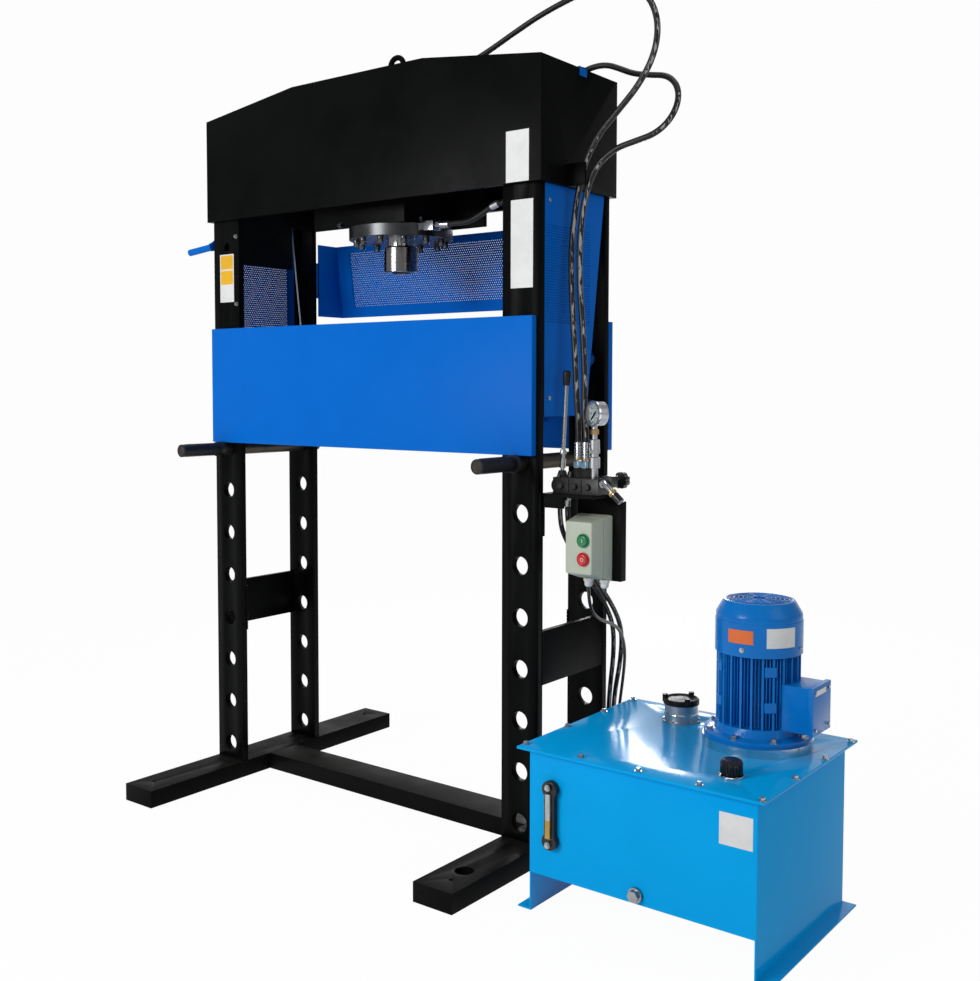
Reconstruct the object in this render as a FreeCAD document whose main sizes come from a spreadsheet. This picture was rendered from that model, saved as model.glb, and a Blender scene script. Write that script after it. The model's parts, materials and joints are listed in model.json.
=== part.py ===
"""Hydraulic workshop press with its power pack, in millimetres.

X runs to the right of the press, Y to its back and Z up. The origin is on the floor,
under the middle of the frame.
"""
import FreeCAD, Part
import math
import os
import re
import Sketcher

doc = FreeCAD.newDocument("HydraulicPress")

# ---------------------------------------------------------------- driving sizes
sizes = {
    # welded frame
    "inner_width": 1014,
    "bar_width": 115,
    "bar_thick": 20,
    "bar_gap": 290,
    "bar_top": 2030,
    "hole_diameter": 48.6,
    "hole_first": 100,
    "hole_pitch": 134,
    "hole_count": 10,
    "label_hole": 25,
    "label_hole_shift": 2,
    "label_hole_drop": 80,
    "strut_bottom": 465,
    "strut_height": 140,
    "strut_thick": 15,
    "foot_length": 1030,
    "foot_width": 120,
    "foot_height": 50,
    "foot_bolt_hole": 12,
    "foot_bolt_shift": 7,
    "foot_bolt_inset": 62,
    "anchor_hole_inset": 122,
    "cross_width": 116,
    # crown
    "crown_bottom": 1740,
    "crown_end_top": 2050,
    "crown_top": 2100,
    "crown_flat": 500,
    "top_plate_length": 340,
    "crown_plate": 15,
    "crown_end_plate": 13,
    "inner_plate_bottom": 1605,
    "inner_plate_thick": 5,
    "web_thick": 10,
    "web_inset": 60,
    "rope_slot_front": 58,
    "rope_slot_rear": 104,
    "hose_bracket_reach": 53,
    "hose_bracket_height": 56,
    "hose_bracket_front": 62,
    "hose_bracket_rear": 55,
    "rope_lug_half": 8,
    "rope_lug_drop": 40,
    "rope_lug_thick": 12,
    "eye_height": 90,
    "eye_wire": 16,
    "eye_width": 66,
    # cylinder
    "cylinder_x": 14,
    "barrel_outer": 190,
    "barrel_bore": 150,
    "barrel_drop": 40,
    "barrel_cap": 20,
    "cradle_wall": 14,
    "cradle_gap": 2,
    "cradle_bottom": 1688,
    "cradle_left": 232,
    "cradle_right": 245,
    "port_drop": 45,
    "port_hole": 34,
    "flange_diameter": 400,
    "flange_bottom": 1636,
    "flange_thick": 28,
    "flange_edge": 2,
    "rod_guide_depth": 20,
    "collar_diameter": 270,
    "bolt_circle": 350,
    "bolt_count": 12,
    "bolt_across": 26,
    "bolt_start_angle": 15,
    "bolt_head_height": 16,
    "rod_diameter": 100,
    "rod_spigot": 76,
    "running_gap": 0.1,
    "piston_length": 50,
    "piston_gap": 10,
    "head_diameter": 117,
    "head_bottom": 1562,
    "head_height": 72,
    "head_bore_depth": 30,
    "head_bore": 60,
    # table
    "table_overhang": 107,
    "table_plate": 20,
    "table_height": 353,
    "table_front_gap": 0.3,
    "table_rear_gap": 15,
    "spacer_thick": 20,
    "spacer_reach": 400,
    "spacer_inner": 160,
    "spacer_drop": 70,
    "spacer_bottom": 75,
    "rope_hole": 24,
    # table pins
    "pin_diameter": 40,
    "pin_hole_number": 7,
    "pin_rear_reach": 215,
    "pin_collar": 46,
    "pin_collar_length": 14,
    "pin_collar_gap": 5,
    "grip_wall": 5,
    "grip_bead": 3,
    "grip_bead_length": 8,
    "grip_diameter": 38,
    "grip_length": 141,
    "rest_gap": 0.3,
    # table hoist
    "drum_shift": 4.5,
    "drum_z": 1768,
    "drum_front": 40,
    "drum_length": 60,
    "drum_core": 52,
    "drum_flange": 76,
    "drum_cheek": 4,
    "rope_diameter": 5,
    "hoist_shaft": 20,
    "gear_case_width": 92,
    "gear_case_depth": 42,
    "gear_case_height": 78,
    "gear_case_rear": 0,
    "gear_case_edge": 8,
    "gear_socket": 14,
    "crank_shaft": 16,
    "crank_overhang": 28,
    "crank_arm": 162,
    "crank_drop": 2,
    "crank_socket": 20,
    "crank_handle": 21,
    "crank_handle_length": 112,
    "crank_angle": 37,
    "sheave_inset": 59,
    "sheave_y": 93,
    "sheave_z": 1200,
    "sheave_groove": 55,
    "sheave_rim": 68,
    "sheave_width": 14,
    "axle_diameter": 16,
    # guards
    "guard_sheet": 2.5,
    "guard_bottom": 1153,
    "guard_upper_edge": 283,
    "guard_lower_edge": 199,
    "guard_flange": 30,
    "guard_hole": 13,
    "guard_hole_pitch": 26,
    "guard_hole_columns": 4,
    "guard_hole_rows": 9,
    "guard_hole_inset": 17,
    "guard_hole_reach": 332,
    "rear_guard_gap": 7,
    "rear_guard_top": 1695,
    "rear_guard_bottom": 1460,
    "rear_guard_top_reach": 85,
    "rear_guard_foot_reach": 117,
    "rear_guard_hole": 22,
    "rear_guard_pitch": 40,
    "rear_guard_columns": 22,
    "rear_guard_rows": 4,
    "rear_guard_margin": 50,
    "rear_guard_ear": 38,
    "rear_guard_ear_inset": 60,
    # control stand
    "shelf_top": 960,
    "shelf_thick": 8,
    "shelf_reach": 153,
    "shelf_front": 155,
    "shelf_back": 50,
    "panel_inset": 46,
    "panel_width": 130,
    "panel_bottom": 738,
    "panel_sheet": 5,
    "panel_flange": 20,
    "shelf_tab": 6,
    "shelf_tab_height": 110,
    "shelf_rib": 6,
    "shelf_rib_length": 68,
    "shelf_rib_height": 36,
    "valve_left": 18,
    "valve_length": 135,
    "valve_depth": 56,
    "valve_height": 40,
    "valve_y": -100,
    "port_pitch": 22,
    "port_reach": 76.5,
    "lever_reach": 28,
    "lever_length": 225,
    "lever_wire": 10,
    "lever_knob": 15,
    "lever_knob_length": 32,
    "lever_boot": 30,
    "lever_ball": 16,
    "lever_pivot": 10,
    "wheel_diameter": 42,
    "wheel_reach": 171,
    "wheel_z": 994,
    "wheel_thick": 18,
    "wheel_stem": 10,
    "wheel_stem_length": 43,
    "wheel_bites": 8,
    "adapter_half": 15,
    "gauge_diameter": 65,
    "gauge_depth": 30,
    "gauge_reach": 132,
    "gauge_z": 1162,
    "gauge_turn": 26,
    "starter_width": 101,
    "starter_depth": 75,
    "starter_bottom": 738,
    "starter_height": 167,
    "starter_reach": 49,
    "starter_draft": 9,
    "button_diameter": 28.5,
    "button_proud": 8,
    "button_sunk": 8,
    "start_z": 845,
    "stop_z": 798,
    "button_reach": 112,
    "gland_diameter": 24,
    "gland_length": 26,
    "gland_lip": 5,
    "gland_sunk": 8,
    "gland_inset": 41,
    "gland_pitch": 48,
    "gland_y": -70,
    # hoses and their ends
    "hose_diameter": 15.5,
    "supply_diameter": 13,
    "cable_diameter": 9,
    "supply_x": 18,
    "supply_pitch_x": 18,
    "supply_pitch_y": 7,
    "supply_y": -95,
    "elbow_gap": 16,
    "elbow_half": 16,
    "elbow_pipe": 24,
    "elbow_port_shift": 6,
    "bulkhead_drop": 20,
    "bulkhead_half": 14,
    "bulkhead_y": -60,
    "bulkhead_port": 15,
    "lower_port_reach": 168,
    "lower_port_half": 16,
    "lower_port_height": 26,
    "tank_port_shift": -185,
    "tank_port_pitch": 55,
    "tank_port_bottom": 286,
    "tank_port_half": 14,
    "drain_height": 22,
    "drain_shift": 2,
    "drain_boss": 34,
    "drain_boss_length": 8,
    "drain_across": 24,
    "drain_head": 10,
    "coupling_elbow": 20,
    "coupling_body": 17,
    "coupling_length": 52,
    "coupling_cap": 19,
    "coupling_cap_length": 24,
    "coupling_band": 21,
    "coupling_band_length": 7,
    "coupling_reach": 27,
    "terminal_gland": 22,
    "terminal_gland_length": 20,
    "terminal_gland_shift": 126,
    "terminal_gland_rise": 47,
    # power pack
    "tank_reach": 413,
    "tank_y": -136,
    "tank_length": 570,
    "tank_depth": 488,
    "tank_floor": 92,
    "tank_top": 386,
    "tank_wall": 4,
    "tank_foot": 34,
    "lid_thick": 6,
    "lid_overhang": 22,
    "motor_shift": 127,
    "motor_y": -35,
    "motor_flange": 250,
    "motor_flange_thick": 13,
    "bell_ring": 21,
    "bell_tube": 120,
    "bell_bore": 84,
    "bell_depth": 70,
    "pump_width": 96,
    "pump_height": 110,
    "motor_core": 168,
    "motor_skirt": 196,
    "fin_height": 13,
    "fin_thick": 5,
    "fin_count": 24,
    "motor_top": 640,
    "cowl_top": 735,
    "cowl_diameter": 204,
    "cowl_crown": 160,
    "cowl_sheet": 3,
    "rotor_shaft": 28,
    "fan_diameter": 150,
    "coupling_diameter": 64,
    "terminal_reach": 156,
    "terminal_width": 98,
    "terminal_bottom": 448,
    "terminal_height": 105,
    "neck_shift": -103,
    "neck_y": 20,
    "neck_diameter": 83,
    "neck_height": 44,
    "cap_height": 14,
    "breather_shift": 184,
    "breather_y": -293,
    "breather_diameter": 46,
    "breather_height": 38,
    "level_shift": -221,
    "level_bottom": 162,
    "level_height": 162,
    "level_width": 40,
}

sheet = doc.addObject("Spreadsheet::Sheet", "Sizes")
for row, (word, value) in enumerate(sizes.items(), start=1):
    sheet.set(f"A{row}", word)
    sheet.set(f"B{row}", str(value))
    sheet.setAlias(f"B{row}", word)
doc.recompute()

# places that several pieces share, as terms in the sizes above
bar_in = "inner_width / 2"
bar_out = "(inner_width / 2 + bar_width)"
bar_mid = "(inner_width / 2 + bar_width / 2)"
bar_back = "bar_gap / 2"
bar_face = "(bar_gap / 2 + bar_thick)"
pin_hole_z = "(hole_first + pin_hole_number * hole_pitch)"
pin_z = f"({pin_hole_z} - hole_diameter / 2 + pin_diameter / 2 + rest_gap)"
table_bottom = f"({pin_z} + pin_diameter / 2 + rest_gap)"
table_top = f"({table_bottom} + table_height)"
table_front = f"(-{bar_face} - table_front_gap)"
table_rear = f"({bar_face} + table_rear_gap)"
lid_top = "(tank_top + lid_thick)"
tank_left = "(tank_x - tank_length / 2)"
tank_right = "(tank_x + tank_length / 2)"
tank_front = "(tank_y - tank_depth / 2)"
tank_rear = "(tank_y + tank_depth / 2)"
gear_case_left = "(drum_x - gear_case_width / 2 + crank_drop)"
gear_case_front = "(gear_case_rear - gear_case_depth)"
crank_y = f"({gear_case_front} + gear_case_depth / 2)"
panel_left = f"({bar_out} + panel_inset)"
panel_right = f"({bar_out} + panel_inset + panel_width)"
places = {
    "table_length": "(inner_width + 2 * table_overhang)",
    "sheave_x": f"({bar_in} - sheave_inset)",
    "drum_x": f"(drum_shift - {bar_mid})",
    "crank_reach": f"({bar_out} + crank_overhang)",
    "barrel_top": "(crown_top - barrel_drop)",
    "piston_top": "(crown_top - barrel_drop - barrel_cap - piston_gap)",
    "port_x": f"({bar_out} + port_reach)",
    "lever_x": f"({bar_out} + lever_reach)",
    "wheel_x": f"({bar_out} + wheel_reach)",
    "gauge_x": f"({bar_out} + gauge_reach)",
    "starter_left": f"({bar_out} + starter_reach)",
    "button_x": f"({bar_out} + button_reach)",
    "tank_x": f"({bar_out} + tank_reach)",
    "motor_x": f"({bar_out} + tank_reach + motor_shift)",
    "neck_x": f"({bar_out} + tank_reach + neck_shift)",
    "breather_x": f"({bar_out} + tank_reach + breather_shift)",
    "level_x": f"({bar_out} + tank_reach + level_shift)",
}

nodes = []


# ---------------------------------------------------------------- tools
def formula(term):
    """A term in words becomes a term in the sheet's cells, with each place in it written out."""
    written = re.sub(r"[A-Za-z_]\w*", lambda found: places.get(found.group(), found.group()), str(term))
    return re.sub(r"[A-Za-z_]\w*",
                  lambda found: "Sizes." + found.group() if found.group() in sizes else found.group(),
                  written)


def number(term):
    return float(sheet.evalExpression(formula(term)))


def vector(point):
    return FreeCAD.Vector(*[number(term) for term in point])


def put(item, point, turn=None):
    """Ties an item's place to the sheet after it has been turned."""
    if turn is not None:
        item.Placement = FreeCAD.Placement(FreeCAD.Vector(), turn)
    for letter, term in zip("xyz", point):
        item.setExpression("Placement.Base." + letter, formula(term))
    return item


def facing(direction):
    """The turn that carries +Z onto the given direction."""
    return FreeCAD.Rotation(FreeCAD.Vector(0, 0, 1), FreeCAD.Vector(*direction))


def block(name, low, high):
    item = doc.addObject("Part::Box", name)
    for prop, start, end in zip(("Length", "Width", "Height"), low, high):
        item.setExpression(prop, formula(f"({end}) - ({start})"))
    return put(item, low)


def rod(name, start, direction, length, diameter):
    item = doc.addObject("Part::Cylinder", name)
    item.setExpression("Radius", formula(f"({diameter}) / 2"))
    item.setExpression("Height", formula(length))
    return put(item, start, facing(direction))


def hexagon(name, start, direction, length, across):
    item = doc.addObject("Part::Prism", name)
    item.Polygon = 6
    item.setExpression("Circumradius", formula(f"({across}) / 2 / cos(30 deg)"))
    item.setExpression("Height", formula(length))
    return put(item, start, facing(direction))


def cone(name, start, direction, length, first, last):
    item = doc.addObject("Part::Cone", name)
    item.setExpression("Radius1", formula(f"({first}) / 2"))
    item.setExpression("Radius2", formula(f"({last}) / 2"))
    item.setExpression("Height", formula(length))
    return put(item, start, facing(direction))


def join(name, items):
    item = doc.addObject("Part::MultiFuse", name)
    item.Shapes = items
    item.Refine = True
    return item


def cut(name, base, tools):
    tool = tools[0]
    if len(tools) > 1:
        tool = doc.addObject("Part::MultiFuse", name + "_tools")
        tool.Shapes = tools
    item = doc.addObject("Part::Cut", name)
    item.Base = base
    item.Tool = tool
    item.Refine = True
    return item


def group(name, items):
    item = doc.addObject("Part::Compound", name)
    item.Links = items
    return item


def plane(body, role):
    return [part for part in body.Origin.OriginFeatures if part.Role == role][0]


def outline(body, name, role, corners):
    """A closed sketch whose corners are tied to the sheet one by one."""
    sketch = body.newObject("Sketcher::SketchObject", name)
    sketch.AttachmentSupport = [(plane(body, role), "")]
    sketch.MapMode = "FlatFace"
    places = [FreeCAD.Vector(number(across), number(up), 0) for across, up in corners]
    count = len(places)
    for index in range(count):
        sketch.addGeometry(Part.LineSegment(places[index], places[(index + 1) % count]))
    for index in range(count):
        sketch.addConstraint(Sketcher.Constraint("Coincident", index, 2, (index + 1) % count, 1))
    for index, (across, up) in enumerate(corners):
        for kind, term in (("DistanceX", across), ("DistanceY", up)):
            line = sketch.addConstraint(Sketcher.Constraint(kind, -1, 1, index, 1, number(term)))
            sketch.setExpression(f"Constraints[{line}]", formula(term))
    return sketch


def plate(name, role, corners, thick, start):
    """A flat piece: an outline on an origin plane, thickened from the given place."""
    body = doc.addObject("PartDesign::Body", name)
    sketch = outline(body, name + "_outline", role, corners)
    pad = body.newObject("PartDesign::Pad", name + "_pad")
    pad.Profile = sketch
    pad.setExpression("Length", formula(thick))
    put(body, start)
    return body


def turned(name, corners, at, direction=(0, 0, 1)):
    """A turned piece: its half section, as radius and height, goes once round its axis."""
    body = doc.addObject("PartDesign::Body", name)
    sketch = outline(body, name + "_section", "XZ_Plane", corners)
    spin = body.newObject("PartDesign::Revolution", name + "_turn")
    spin.Profile = sketch
    spin.ReferenceAxis = (sketch, ["V_Axis"])
    spin.Angle = 360
    put(body, at, facing(direction))
    return body


def keep(item, label):
    """Marks a finished sub-part: its label names its file."""
    item.Label = label
    nodes.append(item)
    return item


# ---------------------------------------------------------------- welded frame
def upright(label, side, front):
    """One flat bar with its row of pin holes; side is -1 or 1 in X, front -1 or 1 in Y."""
    low_x = bar_in if side > 0 else f"-{bar_out}"
    low_y = bar_back if front > 0 else f"-{bar_face}"
    bar = block(label + "_bar", (low_x, low_y, "foot_height"),
                (f"{low_x} + bar_width", f"{low_y} + bar_thick", "bar_top"))
    holes = []
    for index in range(int(sizes["hole_count"])):
        holes.append(rod(f"{label}_hole_{index}",
                         (f"{side} * {bar_mid}", f"{low_y} - 1", f"hole_first + {index} * hole_pitch"),
                         (0, 1, 0), "bar_thick + 2", "hole_diameter"))
    if front < 0:
        holes.append(rod(label + "_upper_hole",
                         (f"{side} * ({bar_mid} - label_hole_shift)", f"{low_y} - 1",
                          "crown_bottom - label_hole_drop"),
                         (0, 1, 0), "bar_thick + 2", "label_hole"))
    keep(cut(label, bar, holes), label)


for side_word, side in (("left", -1), ("right", 1)):
    upright("upright_front_" + side_word, side, -1)
    upright("upright_rear_" + side_word, side, 1)

    # the strut between the bars of one side, flush with their outer edges
    strut_x = f"{bar_out} - strut_thick" if side > 0 else f"-{bar_out}"
    keep(block("strut_" + side_word, (strut_x, f"-{bar_back}", "strut_bottom"),
               (f"{strut_x} + strut_thick", bar_back, "strut_bottom + strut_height")),
         "strut_" + side_word)

    # the foot, a long flat bar with a bolt hole near each end
    foot_mid = f"{side} * {bar_mid}"
    foot = block(f"foot_{side_word}_bar", (f"{foot_mid} - foot_width / 2", "-foot_length / 2", 0),
                 (f"{foot_mid} + foot_width / 2", "foot_length / 2", "foot_height"))
    foot_holes = []
    for place_word, along in (("front", -1), ("rear", 1)):
        foot_holes.append(rod(f"foot_{side_word}_{place_word}_hole",
                              (f"{side} * ({bar_mid} + foot_bolt_shift)",
                               f"{along} * (foot_length / 2 - foot_bolt_inset)", -1),
                              (0, 0, 1), "foot_height + 2", "foot_bolt_hole"))
    if side > 0:
        foot_holes.append(rod("foot_right_anchor_hole", (foot_mid, "-foot_length / 2 + anchor_hole_inset",
                                                         -1),
                              (0, 0, 1), "foot_height + 2", "hole_diameter"))
    keep(cut("foot_" + side_word, foot, foot_holes), "foot_" + side_word)

keep(block("cross_beam", (f"-({bar_mid} - foot_width / 2)", "-cross_width / 2", 0),
           (f"{bar_mid} - foot_width / 2", "cross_width / 2", "foot_height")), "cross_beam")

# ---------------------------------------------------------------- crown
crown_half = f"({bar_out} + crown_end_plate)"
crown_outline = [(f"-{crown_half}", "crown_bottom"), (crown_half, "crown_bottom"),
                 (crown_half, "crown_end_top"), ("crown_flat / 2", "crown_top"),
                 ("-crown_flat / 2", "crown_top"), (f"-{crown_half}", "crown_end_top")]
crown_front = plate("crown_front", "XZ_Plane", crown_outline, "crown_plate", (0, f"-{bar_face}", 0))
crown_rear = plate("crown_rear", "XZ_Plane", crown_outline, "crown_plate",
                   (0, f"{bar_face} + crown_plate", 0))
crown_parts = [crown_front, crown_rear]
for side_word, side in (("left", -1), ("right", 1)):
    end_x = bar_out if side > 0 else f"-{crown_half}"
    end = block(f"crown_end_{side_word}", (end_x, f"-{bar_face}", "crown_bottom"),
                (f"{end_x} + crown_end_plate", bar_face, "crown_end_top"))
    if side < 0:
        end = cut("crown_end_bored", end,
                  [rod("crank_hole", (f"{end_x} - 1", crank_y, "drum_z - crank_drop"), (1, 0, 0),
                       "crown_end_plate + 2", "crank_shaft + 4")])
    crown_parts.append(end)
    # the inner plate hangs from a web between the crown's two long plates
    inner_x = bar_in if side > 0 else f"-{bar_in} - inner_plate_thick"
    inner_plate = block(f"inner_plate_{side_word}", (inner_x, f"-{bar_back}", "inner_plate_bottom"),
                        (f"{inner_x} + inner_plate_thick", bar_back, "crown_end_top - web_inset"))
    web_x = f"{bar_in} - web_thick" if side > 0 else f"-{bar_in}"
    web = block(f"crown_web_{side_word}", (web_x, f"-{bar_face}", "crown_bottom + web_inset"),
                (f"{web_x} + web_thick", bar_face, "crown_end_top - web_inset"))
    crown_parts.append(web)
    if side < 0:
        rope_slot = block("rope_slot", (f"{inner_x} - 1", "rope_slot_front", "inner_plate_bottom - 1"),
                          (f"{inner_x} + inner_plate_thick + 1", "rope_slot_rear", "crown_bottom"))
        inner_plate = cut("inner_plate_slotted", inner_plate, [rope_slot])
    crown_parts.append(inner_plate)
crown_parts.append(block("crown_top_plate",
                         ("-top_plate_length / 2", f"-{bar_face}", "crown_top - crown_plate"),
                         ("top_plate_length / 2", bar_face, "crown_top")))
# lifting eye on the top plate
eye = doc.addObject("Part::Torus", "eye_ring")
eye.setExpression("Radius1", formula("(eye_width - eye_wire) / 2"))
eye.setExpression("Radius2", formula("eye_wire / 2"))
put(eye, (0, 0, "crown_top + eye_height - eye_width / 2"), facing((0, 1, 0)))
crown_parts.append(eye)
crown_parts.append(rod("eye_shank", (0, 0, "crown_top"), (0, 0, 1),
                       "eye_height - eye_width + eye_wire / 2", "eye_wire * 1.6"))
# the plate that holds the two hoses on the crown's right end
crown_parts.append(block("hose_bracket", (crown_half, "-hose_bracket_front", "crown_bottom"),
                         (f"{crown_half} + hose_bracket_reach", "-hose_bracket_rear",
                          "crown_bottom + hose_bracket_height")))
# the lug that the hoist rope ends in, on the right inner plate
rope_end_x = "(sheave_x + sheave_groove / 2 + rope_diameter / 2)"
crown_parts.append(block("rope_lug",
                         (f"{rope_end_x} - rope_lug_half", "sheave_y - rope_lug_half",
                          "crown_bottom - rope_lug_drop"),
                         (bar_in, "sheave_y + rope_lug_half",
                          "crown_bottom - rope_lug_drop + rope_lug_thick")))
keep(join("crown", crown_parts), "crown")

# ---------------------------------------------------------------- cylinder
barrel_bottom = "(flange_bottom + flange_thick)"
keep(turned("cylinder_barrel",
            [("barrel_bore / 2", barrel_bottom), ("barrel_outer / 2", barrel_bottom),
             ("barrel_outer / 2", "barrel_top"), (0, "barrel_top"), (0, "barrel_top - barrel_cap"),
             ("barrel_bore / 2", "barrel_top - barrel_cap")],
            ("cylinder_x", 0, 0)), "cylinder_barrel")

# bolted ring, its rod guide inside the barrel and its pale collar round it
guide = "(rod_diameter / 2 + running_gap)"
ring = turned("flange_ring",
              [(guide, "flange_bottom"), ("flange_diameter / 2 - flange_edge", "flange_bottom"),
               ("flange_diameter / 2", "flange_bottom + flange_edge"),
               ("flange_diameter / 2", barrel_bottom),
               ("collar_diameter / 2", barrel_bottom), ("collar_diameter / 2", "cradle_bottom - 1"),
               ("barrel_outer / 2", "cradle_bottom - 1"), ("barrel_outer / 2", barrel_bottom),
               ("barrel_bore / 2", barrel_bottom), ("barrel_bore / 2", f"{barrel_bottom} + rod_guide_depth"),
               (guide, f"{barrel_bottom} + rod_guide_depth")],
              ("cylinder_x", 0, 0))
keep(ring, "cylinder_flange")

bolts = []
for index in range(int(sizes["bolt_count"])):
    angle = f"({index} * 360 / bolt_count + bolt_start_angle) * 1 deg"
    spot = (f"cylinder_x + bolt_circle / 2 * cos({angle})", f"bolt_circle / 2 * sin({angle})",
            "flange_bottom - bolt_head_height")
    bolts.append(hexagon(f"flange_bolt_{index}", spot, (0, 0, 1), "bolt_head_height", "bolt_across"))
keep(group("flange_bolts", bolts), "flange_bolts")

cradle_in = "(barrel_outer / 2 + cradle_gap)"
cradle_out = f"({cradle_in} + cradle_wall)"
cradle_top = "crown_top - crown_plate"
cradle_walls = [
    block("cradle_front", ("-cradle_left", f"-{cradle_out}", "cradle_bottom"),
          (f"cylinder_x + {cradle_out}", f"-{cradle_in}", cradle_top)),
    block("cradle_rear", (f"cylinder_x - {cradle_out}", cradle_in, "cradle_bottom"),
          ("cradle_right", cradle_out, cradle_top)),
    block("cradle_left", (f"cylinder_x - {cradle_out}", f"-{cradle_out}", "cradle_bottom"),
          (f"cylinder_x - {cradle_in}", cradle_out, cradle_top)),
    block("cradle_right", (f"cylinder_x + {cradle_in}", f"-{cradle_out}", "cradle_bottom"),
          (f"cylinder_x + {cradle_out}", cradle_out, cradle_top)),
]
port_z = "barrel_top - port_drop"
cradle_box = join("cradle_box", cradle_walls)
keep(cut("cylinder_cradle", cradle_box,
         [rod("cradle_port", (f"cylinder_x + {cradle_in} - 1", 0, port_z), (1, 0, 0),
              "cradle_wall + 2", "port_hole")]), "cylinder_cradle")

rod_top = "(piston_top - piston_length)"
head_top = "(head_bottom + head_height)"
keep(turned("ram_rod",
            [(0, "head_bottom + head_bore_depth"), ("rod_spigot / 2", "head_bottom + head_bore_depth"),
             ("rod_spigot / 2", head_top), ("rod_diameter / 2", head_top),
             ("rod_diameter / 2", rod_top), ("barrel_bore / 2 - running_gap", rod_top),
             ("barrel_bore / 2 - running_gap", "piston_top"), (0, "piston_top")],
            ("cylinder_x", 0, 0)), "ram_rod")
keep(turned("ram_head",
            [("head_bore / 2", "head_bottom"), ("head_diameter / 2 - 3", "head_bottom"),
             ("head_diameter / 2", "head_bottom + 3"), ("head_diameter / 2", f"{head_top} - 12"),
             ("head_diameter / 2 - 6", head_top), ("rod_spigot / 2", head_top),
             ("rod_spigot / 2", "head_bottom + head_bore_depth"),
             ("head_bore / 2", "head_bottom + head_bore_depth")],
            ("cylinder_x", 0, 0)), "ram_head")

# ---------------------------------------------------------------- table
half_table = "table_length / 2"
keep(block("table_front_plate", (f"-{half_table}", f"{table_front} - table_plate", table_bottom),
           (half_table, table_front, table_top)), "table_front_plate")

# rear plate with its cross plates, which reach forward to the front plate
table_rear_parts = [block("table_rear_wall", (f"-{half_table}", table_rear, table_bottom),
                          (half_table, f"{table_rear} + table_plate", table_top))]
for index, place in enumerate(("-spacer_reach", "-spacer_inner", "spacer_inner", "spacer_reach")):
    spacer = block(f"spacer_{index}", (f"{place} - spacer_thick / 2", table_front,
                                       f"{table_bottom} + spacer_bottom"),
                   (f"{place} + spacer_thick / 2", table_rear, f"{table_top} - spacer_drop"))
    table_rear_parts.append(
        cut(f"spacer_bored_{index}", spacer,
            [rod(f"rope_hole_{index}",
                 (f"{place} - spacer_thick / 2 - 1", "sheave_y",
                  "sheave_z - sheave_groove / 2 - rope_diameter / 2"),
                 (1, 0, 0), "spacer_thick + 2", "rope_hole")]))
for side_word, side in (("left", -1), ("right", 1)):
    # a welded stub carries the sheave
    stub_start = "sheave_y + sheave_width / 2"
    table_rear_parts.append(rod(f"stub_{side_word}", (f"{side} * sheave_x", f"{stub_start} + rest_gap",
                                                      "sheave_z"),
                                (0, 1, 0), f"{table_rear} - ({stub_start}) - rest_gap", "axle_diameter * 2"))
    table_rear_parts.append(rod(f"axle_{side_word}",
                                (f"{side} * sheave_x", "sheave_y - sheave_width / 2 - 4", "sheave_z"),
                                (0, 1, 0), "sheave_width + 6", "axle_diameter"))
keep(join("table_rear_plate", table_rear_parts), "table_rear_plate")

for side_word, side in (("left", -1), ("right", 1)):
    half = "sheave_width / 2"
    bore = "(axle_diameter / 2 + running_gap)"
    keep(turned("sheave_" + side_word,
                [(bore, f"-{half}"), ("sheave_rim / 2", f"-{half}"), ("sheave_rim / 2", f"2 - {half}"),
                 ("sheave_groove / 2", "-2.6"), ("sheave_groove / 2", "2.6"),
                 ("sheave_rim / 2", f"{half} - 2"), ("sheave_rim / 2", half), (bore, half)],
                (f"{side} * sheave_x", "sheave_y", "sheave_z"), (0, 1, 0)), "sheave_" + side_word)

# table pins with their rubber grips
pin_front = f"(-{bar_face} - table_plate - table_front_gap)"
for side_word, side in (("left", -1), ("right", 1)):
    pin_x = f"{side} * {bar_mid}"
    collar_front = f"({pin_front} - pin_collar_gap - pin_collar_length)"
    shaft = rod(f"pin_{side_word}_shaft", (pin_x, f"{collar_front} - grip_length", pin_z), (0, 1, 0),
                f"pin_rear_reach - ({collar_front}) + grip_length", "pin_diameter")
    slim = cut(f"pin_{side_word}_slim", shaft,
               [turned(f"pin_{side_word}_neck",
                       [("grip_diameter / 2 - grip_wall", -1), ("pin_collar", -1),
                        ("pin_collar", "grip_length"),
                        ("grip_diameter / 2 - grip_wall", "grip_length")],
                       (pin_x, f"{collar_front} - grip_length", pin_z), (0, 1, 0))])
    pin_body = join(f"pin_{side_word}", [slim, rod(f"pin_{side_word}_collar", (pin_x, collar_front, pin_z),
                                                   (0, 1, 0), "pin_collar_length", "pin_collar")])
    keep(pin_body, "pin_" + side_word)
    keep(turned(f"grip_{side_word}",
                [("grip_diameter / 2 - grip_wall", 0), ("grip_diameter / 2", 0),
                 ("grip_diameter / 2", "grip_length - grip_bead_length"),
                 ("grip_diameter / 2 + grip_bead", "grip_length - grip_bead_length"),
                 ("grip_diameter / 2 + grip_bead", "grip_length"),
                 ("grip_diameter / 2 - grip_wall", "grip_length")],
                (pin_x, f"{collar_front} - grip_length", pin_z), (0, 1, 0)), "grip_" + side_word)

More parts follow.
